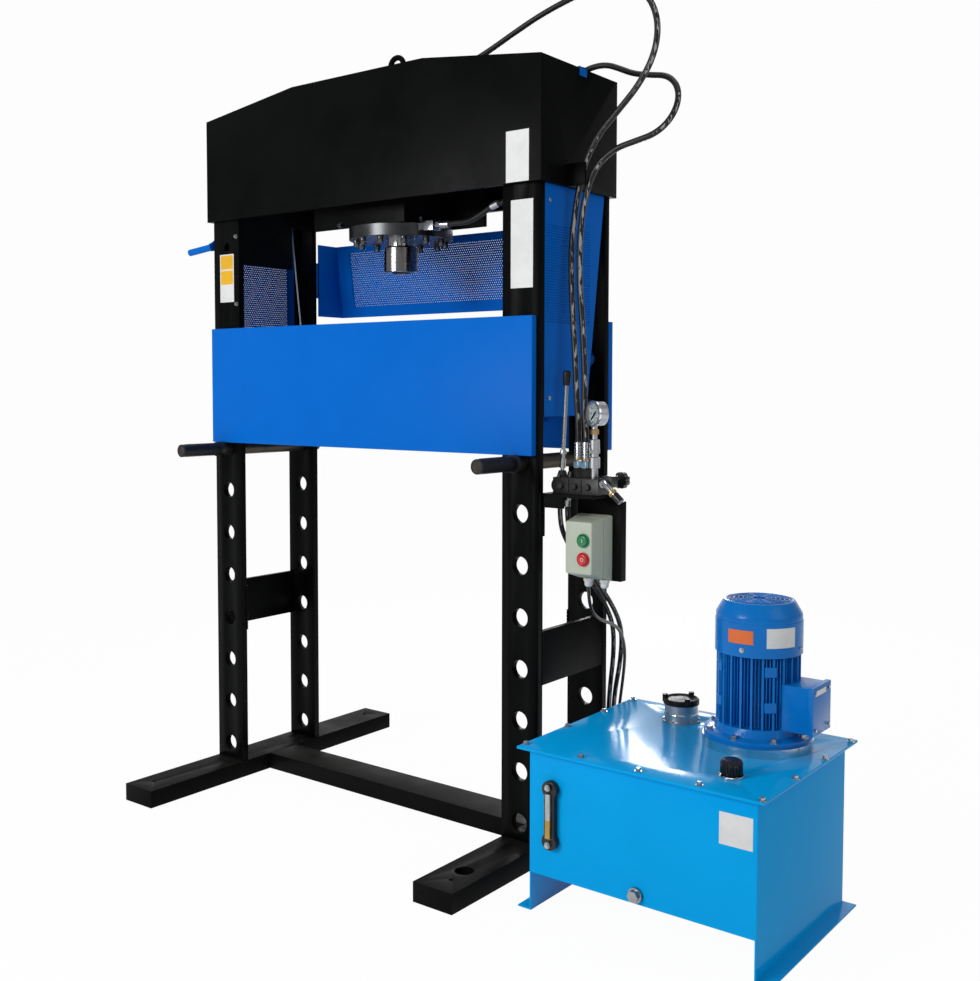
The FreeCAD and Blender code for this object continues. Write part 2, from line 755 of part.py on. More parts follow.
# ---------------------------------------------------------------- table hoist
case_top = "(drum_z - crank_drop + gear_case_height / 2)"
case = block("gear_case_block", (gear_case_left, gear_case_front, f"{case_top} - gear_case_height"),
             (f"{gear_case_left} + gear_case_width", "gear_case_rear", case_top))
case_soft = doc.addObject("Part::Chamfer", "gear_case_soft")
case_soft.Base = case
doc.recompute()
case_soft.Edges = [(index, number("gear_case_edge"), number("gear_case_edge")) for index in (1, 3, 5, 7)]
keep(cut("gear_case", case_soft,
         [rod("drum_socket", ("drum_x", "gear_case_rear - gear_socket", "drum_z"), (0, 1, 0),
              "gear_socket + 1",
              "hoist_shaft + 2 * running_gap"),
          rod("crank_socket", (f"{gear_case_left} - 1", crank_y, "drum_z - crank_drop"), (1, 0, 0),
              "crank_socket + 5",
              "crank_shaft + 2 * running_gap")]), "gear_case")

turns = 8
turn_pitch = f"(drum_length - 2 * drum_cheek) / {turns}"
drum_end = "gear_case_rear - drum_front - gear_socket + 2"
drum_corners = [(0, drum_end), ("hoist_shaft / 2", drum_end),
                ("hoist_shaft / 2", 0), ("drum_flange / 2", 0), ("drum_flange / 2", "drum_cheek")]
for index in range(turns):
    low = f"drum_cheek + {index} * {turn_pitch}"
    drum_corners += [("drum_core / 2", f"{low} + 0.4"), ("drum_core / 2 + rope_diameter",
                                                         f"{low} + {turn_pitch} / 2")]
drum_corners += [("drum_core / 2", "drum_length - drum_cheek - 0.2"),
                 ("drum_flange / 2", "drum_length - drum_cheek"),
                 ("drum_flange / 2", "drum_length"), (0, "drum_length")]
keep(turned("hoist_drum", drum_corners, ("drum_x", "drum_front", "drum_z"), (0, 1, 0)), "hoist_drum")

crank_z = "(drum_z - crank_drop)"
arm_drop = "(crank_arm * sin(crank_angle * 1 deg))"
arm_front = "(crank_arm * cos(crank_angle * 1 deg))"
crank_hub = "(-crank_reach)"
crank_turn = FreeCAD.Rotation(FreeCAD.Vector(1, 0, 0), sizes["crank_angle"])
arm = doc.addObject("Part::Box", "crank_arm_bar")
arm.setExpression("Length", formula("crank_shaft / 2"))
arm.setExpression("Width", formula("crank_arm"))
arm.setExpression("Height", formula("crank_shaft + 6"))
put(arm, (f"{crank_hub} - crank_shaft / 4",
          f"{crank_y} - {arm_front} - (crank_shaft + 6) / 2 * sin(crank_angle * 1 deg) * -1",
          f"{crank_z} - {arm_drop} - (crank_shaft + 6) / 2 * cos(crank_angle * 1 deg)"), crank_turn)
crank_parts = [
    arm,
    rod("crank_spindle", (f"{crank_hub} - crank_shaft / 4", crank_y, crank_z), (1, 0, 0),
        f"({gear_case_left} + crank_socket) - ({crank_hub} - crank_shaft / 4)", "crank_shaft"),
    rod("crank_boss", (f"{crank_hub} - crank_shaft / 4", crank_y, crank_z), (1, 0, 0),
        "crank_shaft / 2", "crank_shaft + 14"),
    rod("crank_grip", (f"{crank_hub} + crank_shaft / 4", f"{crank_y} - {arm_front}",
                       f"{crank_z} - {arm_drop}"),
        (-1, 0, -0.1), "crank_handle_length", "crank_handle"),
    rod("crank_eye", (f"{crank_hub} - crank_shaft / 4", f"{crank_y} - {arm_front}",
                      f"{crank_z} - {arm_drop}"),
        (1, 0, 0), "crank_shaft / 2", "crank_shaft + 10"),
]
keep(join("hoist_crank", crank_parts), "hoist_crank")

# ---------------------------------------------------------------- guards
def hole_grid(name, columns, rows, pitch, width, start, along, through, depth):
    """A grid of square holes, as one tool: along and through are unit steps."""
    holes = []
    for column in range(columns):
        for row in range(rows):
            centre = (f"{start[0]} + {column} * ({pitch}) * {along[0]}",
                      f"{start[1]} + {column} * ({pitch}) * {along[1]}",
                      f"{start[2]} + {row} * ({pitch})")
            corner = [f"({middle}) - ({width}) / 2 * {1 - abs(side)}"
                      for middle, side in zip(centre, through)]
            hole = doc.addObject("Part::Box", f"{name}_{column}_{row}")
            for prop, side in zip(("Length", "Width", "Height"), through):
                hole.setExpression(prop, formula(f"({width}) * {1 - abs(side)} + ({depth}) * {abs(side)}"))
            holes.append(put(hole, corner))
    return holes


for side_word, side in (("right", 1), ("left", -1)):
    # the outline is drawn for the right side; the left guard is the same piece turned half round
    guard_outline = [(f"-{bar_back}", "guard_bottom"), (f"guard_lower_edge - {bar_back}", "guard_bottom"),
                     (f"guard_upper_edge - {bar_back}", "crown_bottom"), (f"-{bar_back}", "crown_bottom")]
    skin = plate(f"guard_{side_word}_skin", "YZ_Plane", guard_outline, "guard_sheet",
                 (f"{bar_out} - guard_sheet", 0, 0))
    fold = block(f"guard_{side_word}_fold", (f"{bar_out} - guard_flange", f"-{bar_back}", "guard_bottom"),
                 (f"{bar_out}", f"-{bar_back} + guard_sheet", "crown_bottom"))
    holes = hole_grid(f"guard_{side_word}_hole", sizes["guard_hole_columns"], sizes["guard_hole_rows"],
                      "guard_hole_pitch", "guard_hole",
                      (f"{bar_out} - guard_sheet - 1", f"-{bar_back} + guard_hole_inset",
                       "crown_bottom - guard_hole_reach"),
                      (0, 1), (1, 0, 0), "guard_sheet + 2")
    guard = cut(f"guard_{side_word}_cut", join(f"guard_{side_word}_sheet", [skin, fold]), holes)
    if side < 0:
        turned_guard = doc.addObject("Part::Compound", "guard_left_turned")
        turned_guard.Links = [guard]
        turned_guard.Placement = FreeCAD.Placement(FreeCAD.Vector(),
                                                   FreeCAD.Rotation(FreeCAD.Vector(0, 0, 1), 180))
        guard = turned_guard
    keep(guard, "guard_" + side_word)

# rear guard: two wings and a leaning perforated panel between them
half_guard = f"({bar_in} - rear_guard_gap)"
top_y = f"({bar_face} + rear_guard_top_reach)"
foot_y = f"({bar_face} + rear_guard_foot_reach)"
panel = plate("rear_guard_panel", "YZ_Plane",
              [(f"{foot_y} - guard_sheet", "rear_guard_bottom"), (foot_y, "rear_guard_bottom"),
               (top_y, "rear_guard_top"), (f"{top_y} - guard_sheet", "rear_guard_top")],
              f"{half_guard} * 2", (f"-{half_guard}", 0, 0))
rear_holes = hole_grid("rear_guard_hole", sizes["rear_guard_columns"], sizes["rear_guard_rows"],
                       "rear_guard_pitch", "rear_guard_hole",
                       ("-(rear_guard_columns - 1) / 2 * rear_guard_pitch", f"{top_y} - 10",
                        "rear_guard_bottom + rear_guard_margin"),
                       (1, 0), (0, 1, 0), "rear_guard_foot_reach - rear_guard_top_reach + 20")
rear_parts = [cut("rear_guard_mesh", panel, rear_holes)]
for side_word, side in (("left", -1), ("right", 1)):
    wing_x = f"{half_guard} - guard_sheet" if side > 0 else f"-{half_guard}"
    rear_parts.append(plate(f"rear_guard_wing_{side_word}", "YZ_Plane",
                            [(bar_face, "rear_guard_bottom"), (foot_y, "rear_guard_bottom"),
                             (top_y, "rear_guard_top"), (bar_face, "rear_guard_top")],
                            "guard_sheet", (wing_x, 0, 0)))
    ear_low = wing_x if side > 0 else f"-{bar_in} - rear_guard_ear"
    ear_high = f"{bar_in} + rear_guard_ear" if side > 0 else f"{wing_x} + guard_sheet"
    rear_parts.append(block(f"rear_guard_ear_{side_word}",
                            (ear_low, bar_face, "rear_guard_bottom + rear_guard_ear_inset"),
                            (ear_high, f"{bar_face} + guard_sheet",
                             "rear_guard_top - rear_guard_ear_inset")))
keep(join("rear_guard", rear_parts), "rear_guard")

# ---------------------------------------------------------------- control stand
shelf_parts = [
    block("shelf_plate", (bar_out, "-shelf_front", "shelf_top - shelf_thick"),
          (f"{bar_out} + shelf_reach", "-shelf_back", "shelf_top")),
    block("shelf_tab", (bar_out, f"-{bar_face}", "shelf_top - shelf_tab_height"),
          (f"{bar_out} + shelf_tab", f"-{bar_back}", "shelf_top")),
    block("shelf_rib", (bar_out, "-shelf_front", "shelf_top - shelf_rib_height"),
          (f"{bar_out} + shelf_rib_length", "-shelf_front + shelf_rib", "shelf_top - shelf_thick")),
    block("panel_sheet_back", (panel_left, "-shelf_back - panel_sheet", "panel_bottom"),
          (panel_right, "-shelf_back", "shelf_top - shelf_thick")),
    block("panel_edge", (f"{panel_right} - panel_sheet", "-shelf_back - panel_sheet", "panel_bottom"),
          (panel_right, "-shelf_back + panel_flange", "shelf_top - shelf_thick - 12")),
]
keep(join("control_stand", shelf_parts), "control_stand")

valve_left = f"({bar_out} + valve_left)"
valve_top = "(shelf_top + valve_height)"
valve_block = block("valve_block", (valve_left, "valve_y - valve_depth / 2", "shelf_top"),
                    (f"{valve_left} + valve_length", "valve_y + valve_depth / 2", valve_top))
valve_parts = [
    valve_block,
    block("valve_adapter", (f"{valve_left} + valve_length", "valve_y - adapter_half", "wheel_z - 14"),
          ("wheel_x + 12", "valve_y + adapter_half", "wheel_z + 14")),
    rod("valve_stem", ("wheel_x", "valve_y + adapter_half", "wheel_z"), (0, 1, 0), "wheel_stem_length",
        "wheel_stem"),
    rod("valve_spool_cap", (f"{valve_left} - 14", "valve_y", "shelf_top + 18"), (1, 0, 0), 14, 30),
    cone("lever_boot", ("lever_x", "valve_y", valve_top), (0, 0, 1), 16, "lever_boot", "lever_boot - 12"),
    rod("relief_cap", ("port_x - port_pitch", "valve_y", valve_top), (0, 0, 1), 14, 18),
]
keep(cut("valve_body", join("valve_solid", valve_parts),
         [rod("lever_well",
              ("lever_x", "valve_y", f"{valve_top} + lever_pivot - lever_ball / 2 - running_gap"),
              (0, 0, 1), 16, "lever_ball + 2 * running_gap")]),
     "valve_body")

# the lever turns on a ball that sits in the valve's well
lever_start = f"({valve_top} + lever_pivot)"
lever_ball = doc.addObject("Part::Sphere", "lever_ball")
lever_ball.setExpression("Radius", formula("lever_ball / 2"))
put(lever_ball, ("lever_x", "valve_y", lever_start))
lever_parts = [
    lever_ball,
    rod("lever_rod", ("lever_x", "valve_y", lever_start), (0.05, 0, 1), "lever_length", "lever_wire"),
    rod("lever_nut", ("lever_x + 0.6", "valve_y", f"{lever_start} + 12"), (0.05, 0, 1), 24,
        "lever_wire + 6"),
    cone("lever_grip", ("lever_x + lever_length * 0.05", "valve_y", f"{lever_start} + lever_length - 2"),
         (0.05, 0, 1), "lever_knob_length", "lever_knob - 2", "lever_knob"),
]
keep(join("valve_lever", lever_parts), "valve_lever")

# scalloped wheel, which takes the end of the valve's stem in a blind bore
wheel_seat = "(valve_y + adapter_half + wheel_stem_length - wheel_thick + 4.3)"
wheel_bore = "(wheel_stem / 2 + running_gap)"
disc = turned("wheel_disc",
              [(wheel_bore, 0), ("wheel_diameter / 2 - 2", 0), ("wheel_diameter / 2", 2),
               ("wheel_diameter / 2", "wheel_thick - 2"), ("wheel_diameter / 2 - 2", "wheel_thick"),
               (0, "wheel_thick"), (0, "wheel_thick - 4"), (wheel_bore, "wheel_thick - 4")],
              ("wheel_x", wheel_seat, "wheel_z"), (0, 1, 0))
bites = []
for index in range(sizes["wheel_bites"]):
    angle = f"({index} * 360 / wheel_bites) * 1 deg"
    bites.append(rod(f"wheel_bite_{index}",
                     (f"wheel_x + (wheel_diameter / 2 + 2) * cos({angle})", f"{wheel_seat} - 1",
                      f"wheel_z + (wheel_diameter / 2 + 2) * sin({angle})"), (0, 1, 0), "wheel_thick + 2",
                     10))
keep(cut("hand_wheel", disc, bites), "hand_wheel")

# gauge: a round case on a stem, turned a little to the left
gauge_axis = (-math.sin(math.radians(sizes["gauge_turn"])), -math.cos(math.radians(sizes["gauge_turn"])), 0)
gauge_y = "valve_y"
case_shell = turned("gauge_shell",
                    [(0, "-gauge_depth / 2"), ("gauge_diameter / 2 - 3", "-gauge_depth / 2"),
                     ("gauge_diameter / 2 - 2", "-gauge_depth / 2 + 3"),
                     ("gauge_diameter / 2 - 2", "gauge_depth / 2 - 6"),
                     ("gauge_diameter / 2", "gauge_depth / 2 - 6"),
                     ("gauge_diameter / 2", "gauge_depth / 2"),
                     ("gauge_diameter / 2 - 4", "gauge_depth / 2"),
                     ("gauge_diameter / 2 - 4", "gauge_depth / 2 - 9"),
                     (2.1, "gauge_depth / 2 - 9"), (2.1, "gauge_depth / 2 - 12"),
                     (0, "gauge_depth / 2 - 12")],
                    ("gauge_x", gauge_y, "gauge_z"), gauge_axis)
gauge_foot = "(gauge_z - gauge_diameter / 2 + 4)"
stem = turned("gauge_stem",
              [(0, valve_top), (9, valve_top), (9, f"{valve_top} + 26"), (14, f"{valve_top} + 26"),
               (14, f"{valve_top} + 52"), (10, f"{valve_top} + 54"), (10, f"{valve_top} + 70"),
               (13, f"{valve_top} + 72"), (13, f"{valve_top} + 96"), (7, f"{valve_top} + 98"),
               (7, gauge_foot), (0, gauge_foot)], ("gauge_x - 8", gauge_y, 0))
neck = rod("gauge_neck", ("gauge_x - 8", gauge_y, f"{gauge_foot} - 2"), (0, 0, 1), 10, 14)
keep(join("gauge_case", [case_shell, stem, neck]), "gauge_case")

needle_at = [f"gauge_x + ({gauge_axis[0]}) * (gauge_depth / 2 - 11.8)",
             f"{gauge_y} + ({gauge_axis[1]}) * (gauge_depth / 2 - 11.8)", "gauge_z"]
needle_disc = rod("needle_pin", needle_at, gauge_axis, 6, 4)
pointer = doc.addObject("Part::Wedge", "needle_pointer")
pointer.Xmin, pointer.Xmax = -1.6, 1.6
pointer.Zmin, pointer.Zmax = -8, 22
pointer.Ymin, pointer.Ymax = 0, 1
pointer.X2min, pointer.X2max = -1.6, 1.6
pointer.Z2min, pointer.Z2max = -8, 22
gauge_spin = FreeCAD.Rotation(FreeCAD.Vector(0, 0, 1), -sizes["gauge_turn"])
needle_low = FreeCAD.Rotation(FreeCAD.Vector(0, 1, 0), -135)
put(pointer, [f"gauge_x + ({gauge_axis[0]}) * (gauge_depth / 2 - 6.6)",
              f"{gauge_y} + ({gauge_axis[1]}) * (gauge_depth / 2 - 6.6)", "gauge_z"],
    gauge_spin.multiply(needle_low))
keep(join("gauge_needle", [needle_disc, pointer]), "gauge_needle")

# starter box: a drafted housing with two button wells
starter_back = "(-shelf_back - panel_sheet)"
starter_front = f"({starter_back} - starter_depth)"


starter_shell = doc.addObject("Part::Wedge", "starter_shell")
for prop, term in (("Xmin", "0"), ("Xmax", "starter_width"), ("Zmin", "0"), ("Zmax", "starter_height"),
                   ("Ymin", "0"), ("Ymax", "starter_depth"), ("X2min", "starter_draft"),
                   ("X2max", "starter_width - starter_draft * 1.6"), ("Z2min", "starter_draft * 1.5"),
                   ("Z2max", "starter_height - starter_draft * 2.4")):
    starter_shell.setExpression(prop, formula(term))
put(starter_shell, ("starter_left", starter_back, "starter_bottom + starter_height"),
    FreeCAD.Rotation(FreeCAD.Vector(1, 0, 0), 180))
wells = []
for word in ("start", "stop"):
    wells.append(rod(f"{word}_well", ("button_x", f"{starter_front} - 1", f"{word}_z"), (0, 1, 0),
                     "button_sunk + 6", "button_diameter + 2 * running_gap"))
keep(cut("starter_box", starter_shell, wells), "starter_box")
for word in ("start", "stop"):
    keep(turned(f"{word}_button",
                [(0, 0), ("button_diameter / 2 - 2", 0), ("button_diameter / 2", 2),
                 ("button_diameter / 2", "button_proud + button_sunk"), (0, "button_proud + button_sunk")],
                ("button_x", f"{starter_front} - button_proud", f"{word}_z"), (0, 1, 0)), f"{word}_button")

glands = []
for index in range(2):
    body = turned(f"gland_{index}_body",
                  [(0, 0), ("gland_diameter / 4", 0), ("gland_diameter / 2", "gland_lip"),
                   ("gland_diameter / 2", "gland_length"), (0, "gland_length")],
                  (f"starter_left + gland_inset + {index} * gland_pitch", "gland_y",
                   "starter_bottom + gland_sunk - gland_length"))
    glands.append(cut(f"gland_{index}", body, [starter_shell]))
keep(group("cable_glands", glands), "cable_glands")

# ---------------------------------------------------------------- hose fittings
fittings = []


def hose_end(name, at, direction, nut=27, ferrule=22, reach=(20, 20, 45)):
    """Adapter, hexagon nut and crimped ferrule in one line from a port."""
    unit = FreeCAD.Vector(*direction).normalize()
    step = [0, reach[0], reach[0] + reach[1]]
    spots = [[f"{term} + {side * distance}" for term, side in zip(at, unit)] for distance in step]
    pieces = [rod(name + "_adapter", spots[0], direction, reach[0], nut - 9),
              hexagon(name + "_nut", spots[1], direction, reach[1], nut - 2),
              rod(name + "_ferrule", spots[2], direction, reach[2], ferrule)]
    return pieces


for index in range(2):
    fittings.append(join(f"valve_hose_end_{index}",
                         hose_end(f"valve_end_{index}", (f"port_x + {index} * port_pitch", "valve_y",
                                                         valve_top),
                                  (0, 0, 1), nut=22, ferrule=20, reach=(25, 20, 45))))
# ports under the valve, through the shelf
shelf_under = "(shelf_top - shelf_thick)"
for index in range(2):
    fittings.append(join(f"supply_hose_end_{index}",
                         hose_end(f"supply_end_{index}",
                                  (f"{bar_out} + supply_x + {index} * supply_pitch_x",
                                   f"supply_y + {index} * supply_pitch_y", shelf_under),
                                  (0, 0, -1), nut=20, ferrule=16, reach=(5, 8, 16))))
# upper port of the cylinder, an elbow that looks up
elbow_x = f"(cylinder_x + {cradle_out} + elbow_gap)"
elbow_port_x = f"({elbow_x} + elbow_half + elbow_port_shift)"
upper_elbow = [rod("upper_port_pipe", ("cylinder_x + barrel_outer / 2", 0, port_z), (1, 0, 0),
                   f"{elbow_x} - cylinder_x - barrel_outer / 2", "elbow_pipe"),
               block("upper_port_block", (elbow_x, "-elbow_half", f"{port_z} - elbow_half"),
                     (f"{elbow_x} + elbow_half * 2", "elbow_half", f"{port_z} + elbow_half"))]
upper_elbow += hose_end("upper_port", (elbow_port_x, 0, f"{port_z} + elbow_port_shift"), (0.7, 0, 0.7),
                        reach=(16, 16, 36))
fittings.append(cut("upper_port_fitting", join("upper_port_solid", upper_elbow),
                    [rod("upper_port_trim", ("cylinder_x", 0, f"{port_z} - barrel_outer / 4"), (0, 0, 1),
                         "barrel_outer / 2", "barrel_outer")]))
# bulkhead in the right inner plate, one elbow on each side
bulkhead_z = "(crown_bottom - bulkhead_drop)"
bulkhead_x = f"({bar_in} + inner_plate_thick)"
bulkhead_block = block("bulkhead_outer_block",
                       (bulkhead_x, "bulkhead_y - bulkhead_half", f"{bulkhead_z} - bulkhead_half"),
                       (f"{bulkhead_x} + bulkhead_half * 2", "bulkhead_y + bulkhead_half",
                        f"{bulkhead_z} + bulkhead_half"))
bulkhead_up = hose_end("bulkhead_up",
                       (f"{bulkhead_x} + bulkhead_port", "bulkhead_y", f"{bulkhead_z} + bulkhead_half"),
                       (0, 0, 1), reach=(4, 16, 36))
fittings.append(join("bulkhead_outer", [bulkhead_block] + bulkhead_up))
fittings.append(join("bulkhead_inner", hose_end("bulkhead_in", (bar_in, "bulkhead_y", bulkhead_z),
                                                (-1, 0, 0),
                                                reach=(6, 16, 32))))
# lower port on top of the flange ring
lower_x = "(cylinder_x + lower_port_reach)"
lower_port = [block("lower_port_block",
                    (f"{lower_x} - lower_port_half", "bulkhead_y - lower_port_half", barrel_bottom),
                    (f"{lower_x} + lower_port_half", "bulkhead_y + lower_port_half",
                     f"{barrel_bottom} + lower_port_height"))]
lower_port += hose_end("lower_port",
                       (f"{lower_x} + lower_port_half", "bulkhead_y",
                        f"{barrel_bottom} + lower_port_height / 2"),
                       (1, 0, 0), nut=24, ferrule=20, reach=(5, 12, 30))
fittings.append(join("lower_port_fitting", lower_port))
# two elbows on the tank's back wall, looking down
for index in range(2):
    tank_port_x = f"(tank_x + tank_port_shift + {index} * tank_port_pitch)"
    elbow = [block(f"tank_elbow_{index}", (f"{tank_port_x} - tank_port_half", tank_rear, "tank_port_bottom"),
                   (f"{tank_port_x} + tank_port_half", f"{tank_rear} + tank_port_half * 2",
                    "tank_port_bottom + tank_port_half * 2"))]
    elbow += hose_end(f"tank_end_{index}", (tank_port_x, f"{tank_rear} + tank_port_half",
                                            "tank_port_bottom"),
                      (0, 0, -1), nut=22, ferrule=18, reach=(4, 12, 28))
    fittings.append(join(f"tank_fitting_{index}", elbow))
# drain plug low on the tank's front
drain_z = "(tank_floor + drain_height)"
fittings.append(join("drain_plug", [
    rod("drain_boss", ("tank_x + drain_shift", tank_front, drain_z), (0, -1, 0), "drain_boss_length",
        "drain_boss"),
    hexagon("drain_hexagon", ("tank_x + drain_shift", f"{tank_front} - drain_boss_length", drain_z),
            (0, -1, 0), "drain_head", "drain_across")]))
# test coupling on the valve's right end, which looks down to the right
coupling_y = "(valve_y - coupling_reach)"
coupling_way = (0.75, 0, -0.66)
fittings.append(join("test_coupling", [
    rod("coupling_elbow", ("wheel_x - 2", "valve_y - adapter_half", "wheel_z - 4"), (0, -1, 0),
        "coupling_reach - 9", "coupling_elbow"),
    rod("coupling_body", ("wheel_x - 2", coupling_y, "wheel_z - 3"), coupling_way, "coupling_length",
        "coupling_body"),
    rod("coupling_band", ("wheel_x + 20", coupling_y, "wheel_z - 22.4"), coupling_way,
        "coupling_band_length", "coupling_band"),
    rod("coupling_cap", ("wheel_x + 28", coupling_y, "wheel_z - 29.4"), coupling_way,
        "coupling_cap_length", "coupling_cap")]))
# gland of the motor's terminal box
terminal_right = "(motor_x + terminal_reach)"
terminal_rear = "(motor_y - 2 + terminal_width / 2)"
fittings.append(turned("terminal_gland",
                       [(0, 0), ("terminal_gland / 2", 0),
                        ("terminal_gland / 2", "terminal_gland_length * 3 / 5"),
                        ("terminal_gland / 3", "terminal_gland_length"), (0, "terminal_gland_length")],
                       ("motor_x + terminal_gland_shift", terminal_rear,
                        "terminal_bottom + terminal_gland_rise"),
                       (0, 1, 0)))
keep(group("hose_fittings", fittings), "hose_fittings")

# ---------------------------------------------------------------- power pack
wall = "tank_wall"
tank_walls = [
    block("tank_side_left", (tank_left, tank_front, 0), (f"{tank_left} + {wall}", tank_rear, "tank_top")),
    block("tank_side_right", (f"{tank_right} - {wall}", tank_front, 0), (tank_right, tank_rear, "tank_top")),
    block("tank_front_wall", (tank_left, tank_front, "tank_floor"),
          (tank_right, f"{tank_front} + {wall}", "tank_top")),
    block("tank_rear_wall", (tank_left, f"{tank_rear} - {wall}", "tank_floor"),
          (tank_right, tank_rear, "tank_top")),
    block("tank_floor_sheet", (tank_left, tank_front, "tank_floor"),
          (tank_right, tank_rear, f"tank_floor + {wall}")),
    block("tank_foot_left", (f"{tank_left} - tank_foot", tank_front, 0),
          (f"{tank_left} + {wall}", tank_rear, wall)),
    block("tank_foot_right", (f"{tank_right} - {wall}", tank_front, 0),
          (f"{tank_right} + tank_foot", tank_rear, wall)),
]
keep(join("tank", tank_walls), "tank")

lid = block("lid_sheet", (f"{tank_left} - lid_overhang", f"{tank_front} - lid_overhang", "tank_top"),
            (f"{tank_right} + lid_overhang", f"{tank_rear} + lid_overhang", lid_top))
keep(cut("tank_lid", lid, [
    rod("lid_pump_hole", ("motor_x", "motor_y", "tank_top - 1"), (0, 0, 1), "lid_thick + 2",
        "bell_tube + 1"),
    rod("lid_neck_hole", ("neck_x", "neck_y", "tank_top - 1"), (0, 0, 1), "lid_thick + 2",
        "neck_diameter - 20"),
    rod("lid_breather_hole", ("breather_x", "breather_y", "tank_top - 1"), (0, 0, 1), "lid_thick + 2", 21)]),
     "tank_lid")

# bell housing: bright ring on the lid, tube through it, with the gear pump and its suction pipe below
bell_top = f"({lid_top} + bell_ring)"
bell_low = f"({lid_top} - bell_depth)"
bell = turned("bell_turned",
              [("bell_bore / 2", bell_low), ("bell_tube / 2", bell_low), ("bell_tube / 2", lid_top),
               ("motor_flange / 2 + 3", lid_top), ("motor_flange / 2 + 3", bell_top),
               ("bell_bore / 2", bell_top)],
              ("motor_x", "motor_y", 0))
pump_parts = [
    bell,
    block("pump_block", ("motor_x - pump_width / 2", "motor_y - pump_width / 2",
                         f"{bell_low} - pump_height"),
          ("motor_x + pump_width / 2", "motor_y + pump_width / 2", bell_low)),
    rod("bell_floor", ("motor_x", "motor_y", f"{bell_low} - 4"), (0, 0, 1), 8, "bell_tube"),
    rod("suction_pipe", ("motor_x + 20", "motor_y", "tank_floor + 30"), (0, 0, 1),
        f"{bell_low} - pump_height - tank_floor - 28", 26),
    rod("strainer", ("motor_x + 20", "motor_y", "tank_floor + 20"), (0, 0, 1), 60, 64),
]
keep(join("pump", pump_parts), "pump")

# motor housing: flange, finned barrel and a boss for the terminal box
flange_top = f"({bell_top} + motor_flange_thick)"
shaft_bore = "(rotor_shaft / 2 + running_gap)"
housing = turned("motor_barrel",
                 [(shaft_bore, bell_top), ("motor_flange / 2", bell_top), ("motor_flange / 2", flange_top),
                  ("motor_skirt / 2 + 3", f"{flange_top} + 4"), ("motor_skirt / 2", f"{flange_top} + 22"),
                  ("motor_core / 2", f"{flange_top} + 24"), ("motor_core / 2", "motor_top"),
                  (shaft_bore, "motor_top")], ("motor_x", "motor_y", 0))
motor_parts = [housing]
for index in range(int(sizes["fin_count"])):
    turn = index * 360 / sizes["fin_count"]
    fin = doc.addObject("Part::Box", f"motor_fin_{index}")
    fin.setExpression("Length", formula("motor_core / 2 + fin_height - 60"))
    fin.setExpression("Width", formula("fin_thick"))
    fin.setExpression("Height", formula(f"motor_top - {flange_top} - 20"))
    put(fin, (f"motor_x + 60 * cos({turn} deg) + fin_thick / 2 * sin({turn} deg)",
              f"motor_y + 60 * sin({turn} deg) - fin_thick / 2 * cos({turn} deg)", f"{flange_top} + 20"),
        FreeCAD.Rotation(FreeCAD.Vector(0, 0, 1), turn))
    motor_parts.append(fin)
terminal_low = ("motor_x + 70", f"{terminal_rear} - terminal_width", "terminal_bottom")
terminal_box = block("terminal_case", terminal_low, (f"{terminal_right} - 12", terminal_rear,
                                                     "terminal_bottom + terminal_height"))
terminal_lid = block("terminal_cover", (f"{terminal_right} - 12", f"{terminal_rear} - terminal_width - 3",
                                        "terminal_bottom - 3"),
                     (terminal_right, f"{terminal_rear} + 3", "terminal_bottom + terminal_height + 3"))
motor_parts += [terminal_box, terminal_lid]
keep(join("motor_housing", motor_parts), "motor_housing")

# fan cowl: a spun hood with a grille of round slots in its top
hood = turned("cowl_hood",
              [("cowl_diameter / 2 - cowl_sheet", "motor_top"), ("cowl_diameter / 2", "motor_top"),
               ("cowl_diameter / 2", "cowl_top - 42"), ("cowl_crown / 2 + 4", "cowl_top - 6"),
               ("cowl_crown / 2", "cowl_top"), (0, "cowl_top"), (0, "cowl_top - cowl_sheet"),
               ("cowl_crown / 2 - 2", "cowl_top - cowl_sheet"),
               ("cowl_diameter / 2 - cowl_sheet", "cowl_top - 43")], ("motor_x", "motor_y", 0))
grille = []
for ring_index, (ring_radius, slots) in enumerate(((26, 8), (46, 12), (66, 16))):
    for index in range(slots):
        angle = f"({index * 360 / slots}) * 1 deg"
        grille.append(rod(f"grille_{ring_index}_{index}",
                          (f"motor_x + {ring_radius} * cos({angle})",
                           f"motor_y + {ring_radius} * sin({angle})",
                           "cowl_top - cowl_sheet - 1"), (0, 0, 1), "cowl_sheet + 2", 13))
skirt = turned("cowl_skirt",
               [("motor_core / 2 + fin_height + 0.3", "motor_top - 22"),
                ("cowl_diameter / 2", "motor_top - 22"),
                ("cowl_diameter / 2", "motor_top"), ("motor_core / 2 + fin_height + 0.3", "motor_top")],
               ("motor_x", "motor_y", 0))
keep(join("motor_cowl", [cut("cowl_pierced", hood, grille), skirt]), "motor_cowl")

